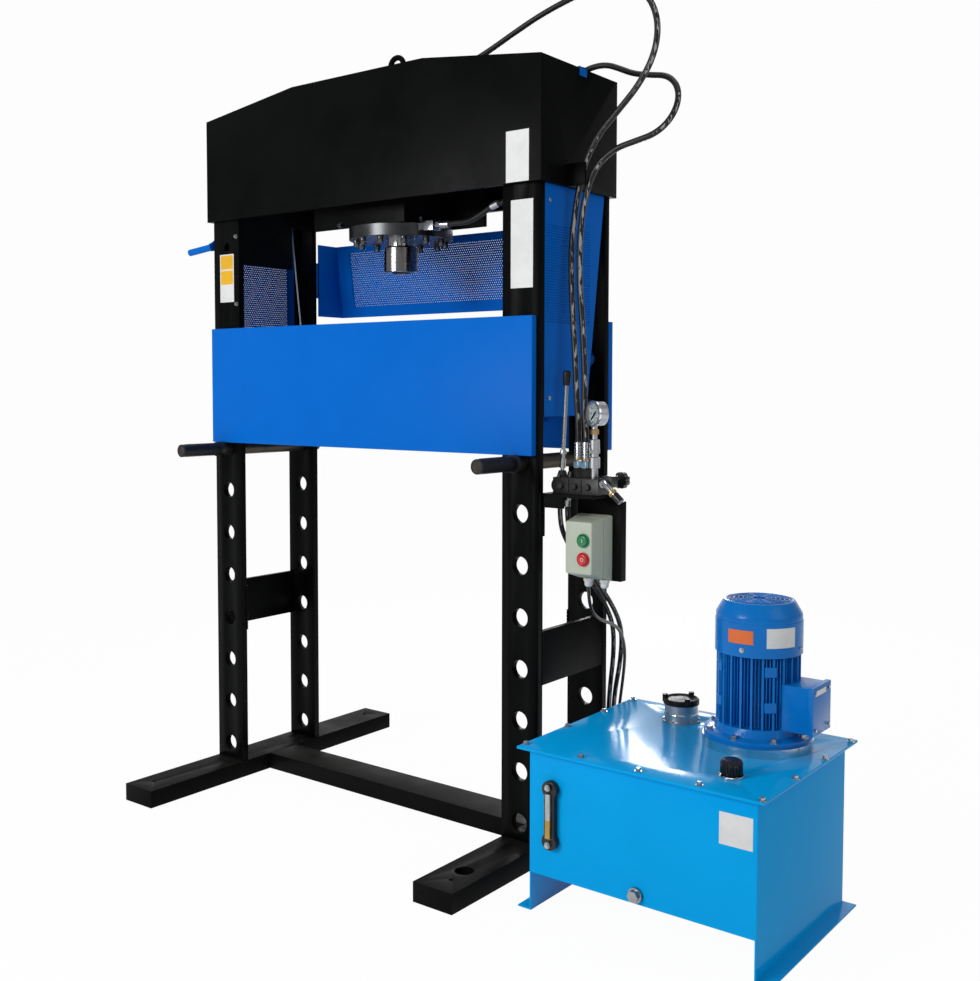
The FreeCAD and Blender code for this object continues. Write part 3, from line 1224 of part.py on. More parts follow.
# rotor: coupling, shaft and fan
fan_bottom = "(motor_top + 18)"
rotor_parts = [
    rod("rotor_bar", ("motor_x", "motor_y", f"{bell_low} + 6"), (0, 0, 1),
        f"{fan_bottom} + 30 - ({bell_low} + 6)",
        "rotor_shaft"),
    rod("coupling", ("motor_x", "motor_y", f"{bell_low} + 4.3"), (0, 0, 1), f"{bell_top} - {bell_low} - 12",
        "coupling_diameter"),
    rod("fan_disc", ("motor_x", "motor_y", fan_bottom), (0, 0, 1), 4, "fan_diameter"),
    rod("fan_hub", ("motor_x", "motor_y", fan_bottom), (0, 0, 1), 30, 48),
]
for index in range(8):
    turn = index * 45
    blade = doc.addObject("Part::Box", f"fan_blade_{index}")
    blade.setExpression("Length", formula("fan_diameter / 2 - 22"))
    blade.Width = 3
    blade.Height = 26
    put(blade, (f"motor_x + 20 * cos({turn} deg)", f"motor_y + 20 * sin({turn} deg)", fan_bottom),
        FreeCAD.Rotation(FreeCAD.Vector(0, 0, 1), turn))
    rotor_parts.append(blade)
keep(join("motor_rotor", rotor_parts), "motor_rotor")

# filler neck and its three-lugged cap, breather cap
neck_top = f"({lid_top} + neck_height)"
keep(turned("filler_neck",
            [("neck_diameter / 2 - 6", f"{lid_top}"), ("neck_diameter / 2 + 5", lid_top),
             ("neck_diameter / 2 + 5", f"{lid_top} + 4"),
             ("neck_diameter / 2", f"{lid_top} + 4"), ("neck_diameter / 2", neck_top),
             ("neck_diameter / 2 - 6", neck_top)], ("neck_x", "neck_y", 0)), "filler_neck")
cap_parts = [turned("cap_dish",
                    [(0, f"{neck_top} - 12"), ("neck_diameter / 2 - 6.4", f"{neck_top} - 12"),
                     ("neck_diameter / 2 - 6.4", f"{neck_top} + 0.3"),
                     ("neck_diameter / 2 + 3", f"{neck_top} + 0.3"),
                     ("neck_diameter / 2 + 3", f"{neck_top} + cap_height - 3"),
                     ("neck_diameter / 2", f"{neck_top} + cap_height"),
                     ("neck_diameter / 2 - 8", f"{neck_top} + cap_height - 4"),
                     (0, f"{neck_top} + cap_height - 2")],
                    ("neck_x", "neck_y", 0))]
for index in range(3):
    angle = f"({index} * 120 + 200) * 1 deg"
    cap_parts.append(rod(f"cap_lug_{index}",
                         (f"neck_x + (neck_diameter / 2 - 1) * cos({angle})",
                          f"neck_y + (neck_diameter / 2 - 1) * sin({angle})", f"{neck_top} + 2"),
                         (0, 0, 1), "cap_height + 5", 14))
keep(join("filler_cap", cap_parts), "filler_cap")

breather_base = turned("breather_turned",
                       [(0, f"{lid_top} - 12"), (10, f"{lid_top} - 12"), (10, f"{lid_top} + 0.3"),
                        ("breather_diameter / 2 + 3", f"{lid_top} + 0.3"),
                        ("breather_diameter / 2 + 3", f"{lid_top} + 5"),
                        ("breather_diameter / 2 - 5", f"{lid_top} + 6"),
                        ("breather_diameter / 2 - 5", f"{lid_top} + 12"),
                        ("breather_diameter / 2", f"{lid_top} + 13"),
                        ("breather_diameter / 2", f"{lid_top} + breather_height - 4"),
                        ("breather_diameter / 2 - 4", f"{lid_top} + breather_height"),
                        (0, f"{lid_top} + breather_height")],
                       ("breather_x", "breather_y", 0))
breather_bites = []
for index in range(12):
    angle = f"({index} * 30) * 1 deg"
    breather_bites.append(rod(f"breather_bite_{index}",
                              (f"breather_x + (breather_diameter / 2 + 1) * cos({angle})",
                               f"breather_y + (breather_diameter / 2 + 1) * sin({angle})",
                               f"{lid_top} + 15"),
                              (0, 0, 1), "breather_height", 6))
keep(cut("breather_cap", breather_base, breather_bites), "breather_cap")

# oil level gauge on the tank's front wall
level_front = f"({tank_front} - 16)"
level_top = "(level_bottom + level_height)"
level_parts = [
    block("level_frame", ("level_x - level_width / 2 + 6", level_front, "level_bottom + 6"),
          ("level_x + level_width / 2 - 6", tank_front, f"{level_top} - 6")),
    rod("level_end_low", ("level_x", level_front, "level_bottom + level_width / 2"), (0, 1, 0), 16,
        "level_width"),
    rod("level_end_high", ("level_x", level_front, f"{level_top} - level_width / 2"), (0, 1, 0), 16,
        "level_width"),
]
level_window = block("level_window", ("level_x - 8", f"{level_front} - 1", "level_bottom + level_width + 2"),
                     ("level_x + 8", f"{level_front} + 5", f"{level_top} - level_width - 2"))
level_bolts = [rod("level_bolt_low", ("level_x", f"{level_front} - 5", "level_bottom + level_width / 2"),
                   (0, 1, 0), 6, 14),
               rod("level_bolt_high", ("level_x", f"{level_front} - 5", f"{level_top} - level_width / 2"),
                   (0, 1, 0), 6, 14)]
keep(join("level_gauge", [cut("level_body", join("level_solid", level_parts),
                              [level_window])] + level_bolts),
     "level_gauge")


# ---------------------------------------------------------------- hoses, cable and rope
def route(label, points, diameter):
    """A tube on straight runs joined by tangent arcs, each as large as its two runs allow."""
    spots = [FreeCAD.Vector(*point) for point in points]
    edges = []
    radii = []
    start = spots[0]
    for before, here, after in zip(spots, spots[1:], spots[2:]):
        arrive = (here - before).normalize()
        leave = (after - here).normalize()
        half_turn = arrive.getAngle(leave) / 2
        shorter = min((here - before).Length, (after - here).Length)
        trim = 0.45 * shorter
        radius = trim / math.tan(half_turn)
        first = here - arrive * trim
        last = here + leave * trim
        inward = (leave - arrive).normalize()
        middle = here + inward * (radius / math.cos(half_turn) - radius)
        if (first - start).Length > 1e-6:
            edges.append(Part.LineSegment(start, first).toShape())
        edges.append(Part.Arc(first, middle, last).toShape())
        radii.append(radius)
        start = last
    edges.append(Part.LineSegment(start, spots[-1]).toShape())
    path = Part.Wire(edges)
    way = (spots[1] - spots[0]).normalize()
    section = Part.Wire(Part.Circle(spots[0], way, diameter / 2).toShape())
    tube = doc.addObject("Part::Feature", label)
    tube.Shape = path.makePipeShell([section], True, False)
    expected = math.pi * diameter ** 2 / 4 * path.Length
    print(f"{label}: length {path.Length:.0f} mm, volume ratio {tube.Shape.Volume / expected:.4f}, radii in "
          "diameters " + " ".join(f"{radius / diameter:.1f}" for radius in radii))
    return keep(tube, label)


def beside(points, edge):
    """The points past an edge of the frame, moved out with it when the frame is made wider."""
    return [(x + side_shift if x > edge else x, y, z) for x, y, z in points]


# the points were laid out for a frame whose right bar's outer face is at this place
drawn_side = 622
cradle_side = 400
inner_side = 500
crown_side = 560
side_shift = number(bar_out) - drawn_side
hose_diameter = number("hose_diameter")
supply_diameter = number("supply_diameter")
cable_diameter = number("cable_diameter")
# ends of the ferrules that the hoses leave from
valve_hose_z = number(f"{valve_top} + 90")
upper_end = vector((elbow_port_x, 0, f"{port_z} + elbow_port_shift")) + FreeCAD.Vector(1, 0,
                                                                                       1).normalize() * 68
bulkhead_hose_x = number(f"{bulkhead_x} + bulkhead_port") - side_shift
upper_hose_points = [
    (698.5, -100, valve_hose_z), (698.5, -100, 1130), (688, -94, 1205), (678, -86, 1305), (661, -75, 1430),
    (648, -64, 1570), (653, -50, 1690), (672, -44, 1790), (716, -45, 1862), (775, -45, 1914),
    (836, -46, 1970), (878, -44, 2040), (882, -38, 2120), (846, -33, 2190), (780, -26, 2232),
    (690, -12, 2242), (590, 0, 2230), (500, 2, 2207), (420, 2, 2178), (340, 1, 2146),
    (upper_end.x + 51, 0, upper_end.z + 51), (upper_end.x, 0, upper_end.z)]
lower_hose_points = [
    (720.5, -100, valve_hose_z), (720.5, -100, 1118), (709, -92, 1166), (706, -84, 1250), (694, -74, 1360),
    (676, -64, 1480), (668, -54, 1600), (674, -44, 1700), (700, -37, 1782), (752, -30, 1824),
    (810, -22, 1838), (862.4, -12.1, 1851.7), (897.7, 0.2, 1884.8), (910, 16.2, 1930.2),
    (896, 33.7, 1974.3), (858.9, 50.1, 2006.5), (806, 62, 2018), (750, 72, 2032), (704, 80, 2054),
    (661.8, 84.3, 2072.6), (616.7, 79, 2072), (577.8, 64.3, 2052.6), (548, 34, 2008), (535, -4, 1952),
    (528, -38, 1896), (bulkhead_hose_x, -60, 1840), (bulkhead_hose_x, -60, 1790)]
port_hose_points = [
    (453, -60, 1720), (421, -60, 1720), (384, -60, 1708), (347, -60, 1689), (312, -60, 1677.3),
    (276, -60, 1677), (245, -60, 1677)]
supply_start = number(shelf_under) - 29
pressure_hose_points = [
    (640, -95, supply_start), (640, -95, 890), (640, -78, 846), (640, -20, 784), (639, 50, 716),
    (638, 124, 646), (634, 182, 572), (621, 206, 482), (608, 208, 386), (603, 207, 286), (606, 208, 194),
    (624, 212, 114), (664, 218, 50), (728, 218, 12), (792, 206, 18), (834, 176, 66), (849, 140, 132),
    (850, 122, 200), (850, 122, 242)]
return_hose_points = [
    (658, -88, supply_start), (658, -88, 890), (657, -72, 846), (656, -20, 784), (657, 54, 712),
    (659, 132, 640), (651, 200, 560), (631, 228, 466), (610, 230, 368), (605, 229, 272), (612, 230, 182),
    (638, 236, 104), (690, 242, 46), (758, 242, 10), (832, 222, 16), (884, 182, 64), (902, 142, 132),
    (905, 122, 200), (905, 122, 242)]
motor_cable_points = [
    (712, -70, 720), (712, -70, 694), (710, -52, 652), (704, -6, 624), (698, 52, 606), (690, 110, 584),
    (676, 164, 544), (656, 210, 486), (628, 246, 406), (611, 254, 320), (607, 254, 232), (618, 258, 146),
    (654, 264, 72), (714, 270, 26), (800, 274, 6), (900, 268, 4.8), (990, 246, 16), (1068, 212, 54),
    (1124, 182, 122), (1150, 164, 206), (1162, 156, 292), (1178, 146, 368), (1206, 130, 428),
    (1244.7, 111.9, 470.5), (1277.3, 84.2, 490.2), (1288, 58, 495), (1288, 32, 495)]
route("upper_hose", beside(upper_hose_points, crown_side), hose_diameter)
route("lower_hose", beside(lower_hose_points, inner_side), hose_diameter)
route("port_hose", beside(port_hose_points, cradle_side), hose_diameter)
route("pressure_hose", beside(pressure_hose_points, 0), supply_diameter)
route("return_hose", beside(return_hose_points, 0), supply_diameter)
route("motor_cable", beside(motor_cable_points, 0), cable_diameter)


# the hoist rope: from the drum to the left sheave, across the table, and up to its lug
rope_drum_x = number("drum_x + drum_core / 2 + rope_diameter * 3 / 2 + rest_gap")
rope_low = number("sheave_z - sheave_groove / 2 - rope_diameter / 2")
rope_side = number(rope_end_x)
rope_wire = number("rope_diameter")
sheave_level = number("sheave_z")
sheave_plane = number("sheave_y")


def straight_rope(label, start, end):
    way = FreeCAD.Vector(*end) - FreeCAD.Vector(*start)
    rope = doc.addObject("Part::Feature", label)
    rope.Shape = Part.makeCylinder(rope_wire / 2, way.Length, FreeCAD.Vector(*start), way)
    return keep(rope, label)


straight_rope("rope_left", (-rope_side, sheave_plane, sheave_level + number("rest_gap")),
              (rope_drum_x, number("drum_front + drum_length / 2"), number("drum_z")))
straight_rope("rope_right", (rope_side, sheave_plane, sheave_level),
              (rope_side, sheave_plane, number("crown_bottom - rope_lug_drop")))
bend = number("sheave_groove / 2 + rope_diameter / 2")
corner = bend * math.sqrt(0.5)
middle_x = number("sheave_x")
sheave_edges = [
    Part.Arc(FreeCAD.Vector(-rope_side, sheave_plane, sheave_level),
             FreeCAD.Vector(-middle_x - corner, sheave_plane, sheave_level - corner),
             FreeCAD.Vector(-middle_x, sheave_plane, rope_low)).toShape(),
    Part.LineSegment(FreeCAD.Vector(-middle_x, sheave_plane, rope_low),
                     FreeCAD.Vector(middle_x, sheave_plane, rope_low)).toShape(),
    Part.Arc(FreeCAD.Vector(middle_x, sheave_plane, rope_low),
             FreeCAD.Vector(middle_x + corner, sheave_plane, sheave_level - corner),
             FreeCAD.Vector(rope_side, sheave_plane, sheave_level)).toShape()]
rope_table = doc.addObject("Part::Feature", "rope_table")
rope_section = Part.Wire(Part.Circle(FreeCAD.Vector(-rope_side, sheave_plane, sheave_level),
                                     FreeCAD.Vector(0, 0, 1), rope_wire / 2).toShape())
rope_table.Shape = Part.Wire(sheave_edges).makePipeShell([rope_section], True, False)
keep(rope_table, "rope_table")

# ---------------------------------------------------------------- write the sub-parts
doc.recompute()
for item in doc.Objects:
    for flag in ("Invalid", "Error"):
        if flag in item.State:
            raise RuntimeError(f"{item.Label} is {flag}")
for item in nodes:
    if item.Shape.isNull() or not item.Shape.isValid():
        raise RuntimeError(f"{item.Label} has no valid shape")
os.makedirs("parts", exist_ok=True)
for item in nodes:
    item.Shape.exportStep(os.path.join("parts", item.Label + ".step"))
    box = item.Shape.BoundBox
    print(f"{item.Label}: solids {len(item.Shape.Solids)}, volume {item.Shape.Volume / 1000:.1f} cm3, "
          f"x {box.XMin:.1f} {box.XMax:.1f}, y {box.YMin:.1f} {box.YMax:.1f}, "
          f"z {box.ZMin:.1f} {box.ZMax:.1f}")
print(len(nodes), "sub-parts")
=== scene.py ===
import json
import math
import bmesh
import bpy
import numpy as np
from mathutils import Matrix, Vector
from mathutils.geometry import tessellate_polygon


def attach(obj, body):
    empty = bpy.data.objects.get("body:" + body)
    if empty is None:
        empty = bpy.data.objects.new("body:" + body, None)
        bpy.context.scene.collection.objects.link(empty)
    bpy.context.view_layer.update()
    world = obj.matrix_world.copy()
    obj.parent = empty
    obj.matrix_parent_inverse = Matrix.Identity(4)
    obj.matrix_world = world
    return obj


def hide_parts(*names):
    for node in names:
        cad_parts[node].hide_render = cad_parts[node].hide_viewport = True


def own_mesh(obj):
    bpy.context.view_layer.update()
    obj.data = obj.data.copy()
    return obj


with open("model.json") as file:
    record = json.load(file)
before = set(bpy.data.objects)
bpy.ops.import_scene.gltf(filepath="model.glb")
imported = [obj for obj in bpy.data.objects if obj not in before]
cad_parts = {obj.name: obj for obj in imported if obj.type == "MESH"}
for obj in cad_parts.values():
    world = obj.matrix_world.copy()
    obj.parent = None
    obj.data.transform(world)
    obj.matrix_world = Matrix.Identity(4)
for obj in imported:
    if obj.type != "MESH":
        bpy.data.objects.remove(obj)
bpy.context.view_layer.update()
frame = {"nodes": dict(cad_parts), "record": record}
scene = bpy.context.scene
scene.view_settings.view_transform = "Standard"
print("stage: frame loaded")


def addObject(name, data):  # puts a mesh, curve, camera or lamp into the scene as an object at the origin
    added = bpy.data.objects.new(name, data)
    scene.collection.objects.link(added)
    return added


# camera, where the photograph was taken from
camera = {"place": (2.29686, -2.56652, 1.2262), "yaw": 37.3, "pitch": -2.98, "roll": 0.1,
          "sensor": 36, "lens": 42.743, "shift": -0.0432, "reach": 100}
yaw, pitch, roll = (math.radians(camera[key]) for key in ("yaw", "pitch", "roll"))
ahead = Vector((-math.sin(yaw) * math.cos(pitch), math.cos(yaw) * math.cos(pitch), math.sin(pitch)))
sidewise = np.array([math.cos(yaw), math.sin(yaw), 0])  # to the picture's right, level
above = Vector(sidewise).cross(ahead)
pictureRight = Vector(sidewise) * math.cos(roll) + above * math.sin(roll)
pictureUp = above * math.cos(roll) - Vector(sidewise) * math.sin(roll)
cameraData = bpy.data.cameras.new("photoCamera")
cameraData.sensor_width = camera["sensor"]
cameraData.sensor_fit = "HORIZONTAL"
cameraData.lens = camera["lens"]
cameraData.shift_y = camera["shift"]
cameraData.clip_end = camera["reach"]
scene.camera = addObject("photoCamera", cameraData)
scene.camera.matrix_world = (Matrix.Translation(camera["place"])
                             @ Matrix((pictureRight, pictureUp, -ahead)).transposed().to_4x4())


# shader groups
def newGroup(name, inputs, outputs):  # a shader group with number sockets; gives it with its input and output nodes
    group = bpy.data.node_groups.new(name, "ShaderNodeTree")
    for label, value in inputs:
        group.interface.new_socket(label, in_out="INPUT", socket_type="NodeSocketFloat").default_value = value
    for label in outputs:
        group.interface.new_socket(label, in_out="OUTPUT", socket_type="NodeSocketFloat")
    return group, group.nodes.new("NodeGroupInput"), group.nodes.new("NodeGroupOutput")


def addNode(tree, kind, values=None, links=None):  # a node, its values set and its inputs linked
    node = tree.nodes.new(kind)
    for key, value in (values or {}).items():
        if isinstance(key, str) and hasattr(node, key):
            setattr(node, key, value)
        else:
            node.inputs[key].default_value = value
    for key, source in (links or {}).items():
        tree.links.new(source, node.inputs[key])
    return node


def mathNode(tree, operation, first, second):  # one sum of two values, each a number or a socket
    node = addNode(tree, "ShaderNodeMath", {"operation": operation})
    for slot, value in enumerate((first, second)):
        if isinstance(value, (int, float)):
            node.inputs[slot].default_value = value
        else:
            tree.links.new(value, node.inputs[slot])
    return node.outputs[0]


def rampNode(tree, source, low, high):  # 0 below low, 1 above high and a soft S between
    return addNode(tree, "ShaderNodeMapRange", {"interpolation_type": "SMOOTHSTEP", "From Min": low, "From Max": high},
                   {"Value": source}).outputs[0]


# soft clouds and fine grain, both from noise in the object's own coordinates
finishGroup, groupIn, groupOut = newGroup("paintFinish", [("Cloud Scale", 3), ("Grain Scale", 300)],
                                          ["Cloud", "Grain"])
coords = finishGroup.nodes.new("ShaderNodeTexCoord").outputs
for label, detail in (("Cloud", 5), ("Grain", 3)):
    noise = addNode(finishGroup, "ShaderNodeTexNoise", {"Detail": detail, "Roughness": 0.6},
                    {"Vector": coords["Object"], "Scale": groupIn.outputs[label + " Scale"]})
    finishGroup.links.new(rampNode(finishGroup, noise.outputs["Fac"], 0.3, 0.7), groupOut.inputs[label])

# long thin scratches: noise stretched about fourteen times along one direction, cut to its peaks
scratchGroup, groupIn, groupOut = newGroup("scuffs", [("Scale", 30), ("Amount", 0.5)], ["Scuff"])
coords = scratchGroup.nodes.new("ShaderNodeTexCoord").outputs
streaks = []
for tilt, stretch in ((0.5, (1, 14, 14)), (-1.1, (14, 1, 9))):
    mapping = addNode(scratchGroup, "ShaderNodeMapping", {"Rotation": (tilt, tilt, tilt), "Scale": stretch},
                      {"Vector": coords["Object"]})
    noise = addNode(scratchGroup, "ShaderNodeTexNoise", {"Detail": 2},
                    {"Vector": mapping.outputs[0], "Scale": groupIn.outputs["Scale"]})
    streaks.append(rampNode(scratchGroup, noise.outputs["Fac"], 0.66, 0.74))
scuff = mathNode(scratchGroup, "MULTIPLY", mathNode(scratchGroup, "MAXIMUM", *streaks), groupIn.outputs["Amount"])
scratchGroup.links.new(scuff, groupOut.inputs["Scuff"])

# dust lies on what faces up, in soft patches
dustGroup, groupIn, groupOut = newGroup("restingDust", [("Amount", 0.3)], ["Dust"])
coords = dustGroup.nodes.new("ShaderNodeTexCoord").outputs
split = addNode(dustGroup, "ShaderNodeSeparateXYZ", links={0: coords["Normal"]})
noise = addNode(dustGroup, "ShaderNodeTexNoise", {"Scale": 9, "Detail": 6, "Roughness": 0.7},
                {"Vector": coords["Object"]})
patch = mathNode(dustGroup, "MULTIPLY", rampNode(dustGroup, split.outputs["Z"], 0.5, 1),
                 rampNode(dustGroup, noise.outputs["Fac"], 0.25, 0.75))
dustGroup.links.new(mathNode(dustGroup, "MULTIPLY", patch, groupIn.outputs["Amount"]), groupOut.inputs["Dust"])

# short pale dashes along what faces front and right, as on printed hose
markGroup, groupIn, groupOut = newGroup("printMarks", [("Amount", 0)], ["Mark"])
coords = markGroup.nodes.new("ShaderNodeTexCoord").outputs
mapping = addNode(markGroup, "ShaderNodeMapping", {"Scale": (150, 150, 24)}, {"Vector": coords["Object"]})
noise = addNode(markGroup, "ShaderNodeTexNoise", {"Scale": 1, "Detail": 1.5, "Roughness": 0.7},
                {"Vector": mapping.outputs[0]})
toward = addNode(markGroup, "ShaderNodeVectorMath", {"operation": "DOT_PRODUCT", 1: (0.75, -0.66, 0)},
                 {0: coords["Normal"]})
dash = mathNode(markGroup, "MULTIPLY", rampNode(markGroup, toward.outputs["Value"], 0.80, 0.92),
                rampNode(markGroup, noise.outputs["Fac"], 0.51, 0.57))
markGroup.links.new(mathNode(markGroup, "MULTIPLY", dash, groupIn.outputs["Amount"]), groupOut.inputs["Mark"])

# colour and the second colour of its clouds, roughness low and high, size of clouds and grain, depth of the grain,
# scuffs; what a row leaves out, such as dust, metal, shine and the hose's printed marks, is as in plainFinish
plainFinish = dict(metal=0, coat=0, dust=0, shine=0.5, marks=0)
finishes = {
    "blackPaint": dict(colour=(0.0018, 0.0020, 0.0020), second=(0.0034, 0.0036, 0.0037), rough=(0.34, 0.48), cloud=5,
                       grain=420, bump=0.10, dust=0.012, scuff=0.04, shine=0.035),
    "footPaint": dict(colour=(0.0014, 0.0014, 0.0014), second=(0.0042, 0.0042, 0.0040), rough=(0.40, 0.60), cloud=9,
                      grain=300, bump=0.22, dust=0.05, scuff=0.14, shine=0.035),
    "bluePaint": dict(colour=(0.0005, 0.126, 0.545), second=(0.0006, 0.137, 0.580), rough=(0.36, 0.48), cloud=3,
                      grain=500, bump=0.06, dust=0.006, scuff=0.008, shine=0.05),
    "tankPaint": dict(colour=(0.0008, 0.345, 0.765), second=(0.001, 0.365, 0.795), rough=(0.12, 0.20), cloud=4,
                      grain=380, bump=0.02, dust=0.003, scuff=0.003, shine=0.045),
    "motorPaint": dict(colour=(0.0008, 0.152, 0.500), second=(0.001, 0.170, 0.550), rough=(0.20, 0.30), cloud=8,
                       grain=260, bump=0.12, dust=0.006, scuff=0.015, shine=0.20),
    "machinedSteel": dict(colour=(0.42, 0.42, 0.41), second=(0.32, 0.32, 0.31), rough=(0.20, 0.32), metal=1, cloud=14,
                          grain=700, bump=0.05, scuff=0.2),
    "ramSteel": dict(colour=(0.30, 0.29, 0.28), second=(0.22, 0.21, 0.20), rough=(0.14, 0.24), metal=1, cloud=14,
                     grain=700, bump=0.05, scuff=0.2),
    "turnedBright": dict(colour=(0.74, 0.75, 0.76), second=(0.64, 0.65, 0.66), rough=(0.16, 0.26), metal=1, cloud=20,
                         grain=700, bump=0.05, scuff=0.1),
    "blackSteel": dict(colour=(0.052, 0.053, 0.055), second=(0.078, 0.080, 0.083), rough=(0.24, 0.34), metal=0.9,
                       cloud=18, grain=500, bump=0.06, dust=0.02, scuff=0.15),
    "screwSteel": dict(colour=(0.105, 0.105, 0.108), second=(0.075, 0.075, 0.078), rough=(0.16, 0.26), metal=1,
                       cloud=24, grain=500, bump=0.04, scuff=0.1),
    "darkSteel": dict(colour=(0.040, 0.036, 0.032), second=(0.085, 0.074, 0.062), rough=(0.34, 0.52), metal=0.85,
                      cloud=22, grain=500, bump=0.10, dust=0.04, scuff=0.2),
    "chromePlate": dict(colour=(0.74, 0.75, 0.76), second=(0.68, 0.69, 0.70), rough=(0.10, 0.18), metal=1, cloud=6,
                        grain=900, bump=0.02, scuff=0.06),
    "zincPlate": dict(colour=(0.50, 0.51, 0.52), second=(0.42, 0.43, 0.44), rough=(0.26, 0.42), metal=1, cloud=30,
                      grain=600, bump=0.06, dust=0.02, scuff=0.15),
    "fittingZinc": dict(colour=(0.36, 0.37, 0.38), second=(0.27, 0.28, 0.29), rough=(0.18, 0.30), metal=1, cloud=40,
                        grain=600, bump=0.05, dust=0.01, scuff=0.15),
    "castAluminium": dict(colour=(0.46, 0.47, 0.48), second=(0.38, 0.39, 0.40), rough=(0.34, 0.50), metal=1, cloud=12,
                          grain=350, bump=0.18, scuff=0.1),
    "hoseRubber": dict(colour=(0.005, 0.005, 0.005), second=(0.011, 0.011, 0.011), rough=(0.30, 0.46), cloud=18,
                       grain=520, bump=0.28, dust=0.02, scuff=0.06, shine=0.3, marks=0.75),
    "gripRubber": dict(colour=(0.004, 0.005, 0.007), second=(0.009, 0.010, 0.013), rough=(0.34, 0.50), cloud=26,
                       grain=360, bump=0.3, dust=0.03, scuff=0.10, shine=0.25),
    "ropeWire": dict(colour=(0.72, 0.72, 0.70), second=(0.58, 0.57, 0.55), rough=(0.35, 0.5), metal=0.5, cloud=60,
                     grain=900, bump=0.05, scuff=0),
    "boxPlastic": dict(colour=(0.45, 0.495, 0.395), second=(0.48, 0.52, 0.42), rough=(0.42, 0.52), cloud=6, grain=420,
                       bump=0.14, dust=0.05, scuff=0.05),
    "whitePlastic": dict(colour=(0.70, 0.70, 0.67), second=(0.64, 0.64, 0.61), rough=(0.40, 0.5), cloud=10, grain=420,
                         bump=0.08, dust=0.03, scuff=0.04),
    "greenPlastic": dict(colour=(0.004, 0.17, 0.055), second=(0.006, 0.20, 0.065), rough=(0.22, 0.32), coat=0.3,
                         cloud=20, grain=500, bump=0.02, dust=0.02, scuff=0.03),
    "redPlastic": dict(colour=(0.50, 0.010, 0.012), second=(0.58, 0.014, 0.016), rough=(0.22, 0.32), coat=0.3,
                       cloud=20, grain=500, bump=0.02, dust=0.02, scuff=0.03),
    "blackPlastic": dict(colour=(0.006, 0.006, 0.0065), second=(0.012, 0.012, 0.0125), rough=(0.16, 0.28), cloud=20,
                         grain=420, bump=0.08, dust=0.03, scuff=0.05, shine=0.4),
    "capPlastic": dict(colour=(0.006, 0.006, 0.0065), second=(0.012, 0.012, 0.0125), rough=(0.36, 0.46), cloud=20,
                       grain=420, bump=0.12, dust=0.03, scuff=0.05, shine=0.12),
    "castBlack": dict(colour=(0.006, 0.006, 0.0065), second=(0.016, 0.016, 0.015), rough=(0.30, 0.48), cloud=30,
                      grain=280, bump=0.3, dust=0.03, scuff=0.12, shine=0.35),
    "plateWhite": dict(colour=(0.74, 0.74, 0.73), second=(0.66, 0.66, 0.65), rough=(0.32, 0.42), cloud=16, grain=300,
                       bump=0.02, dust=0.03, scuff=0.05),
    "plateYellow": dict(colour=(0.80, 0.44, 0.01), second=(0.74, 0.40, 0.01), rough=(0.32, 0.42), cloud=16, grain=300,
                        bump=0.02, dust=0.03, scuff=0.05),
    "plateOrange": dict(colour=(0.78, 0.15, 0.02), second=(0.70, 0.13, 0.02), rough=(0.30, 0.42), cloud=16, grain=300,
                        bump=0.02, dust=0.03, scuff=0.05),
    "blueZinc": dict(colour=(0.22, 0.40, 0.52), second=(0.18, 0.34, 0.46), rough=(0.24, 0.38), metal=0.8, cloud=30,
                     grain=500, bump=0.05, scuff=0.1),
    "brass": dict(colour=(0.60, 0.40, 0.16), second=(0.50, 0.33, 0.13), rough=(0.26, 0.38), metal=1, cloud=30,
                  grain=500, bump=0.05, scuff=0.1),
    "inkBlack": dict(colour=(0.02, 0.02, 0.02), second=(0.03, 0.03, 0.03), rough=(0.4, 0.5), cloud=20, grain=300,
                     bump=0.01, scuff=0),
}


def newMaterial(name, values):  # a material with these values on its Principled shader
    material = bpy.data.materials.new(name)
    material.use_nodes = True
    shader = material.node_tree.nodes["Principled BSDF"]
    for label, value in values.items():
        shader.inputs[label].default_value = value
    return material, material.node_tree, shader


def mixColours(tree, factor, first, second):  # from the first, a colour or socket, to the second by factor
    node = addNode(tree, "ShaderNodeMix", {"data_type": "RGBA", 7: (*second, 1)}, {"Factor": factor})
    if isinstance(first, tuple):
        node.inputs[6].default_value = (*first, 1)
    else:
        tree.links.new(first, node.inputs[6])
    return node.outputs[2]


def maskOf(tree, group, amount):  # places one of the mask groups and gives its mask
    return addNode(tree, "ShaderNodeGroup", {"node_tree": group, "Amount": amount}).outputs[0]


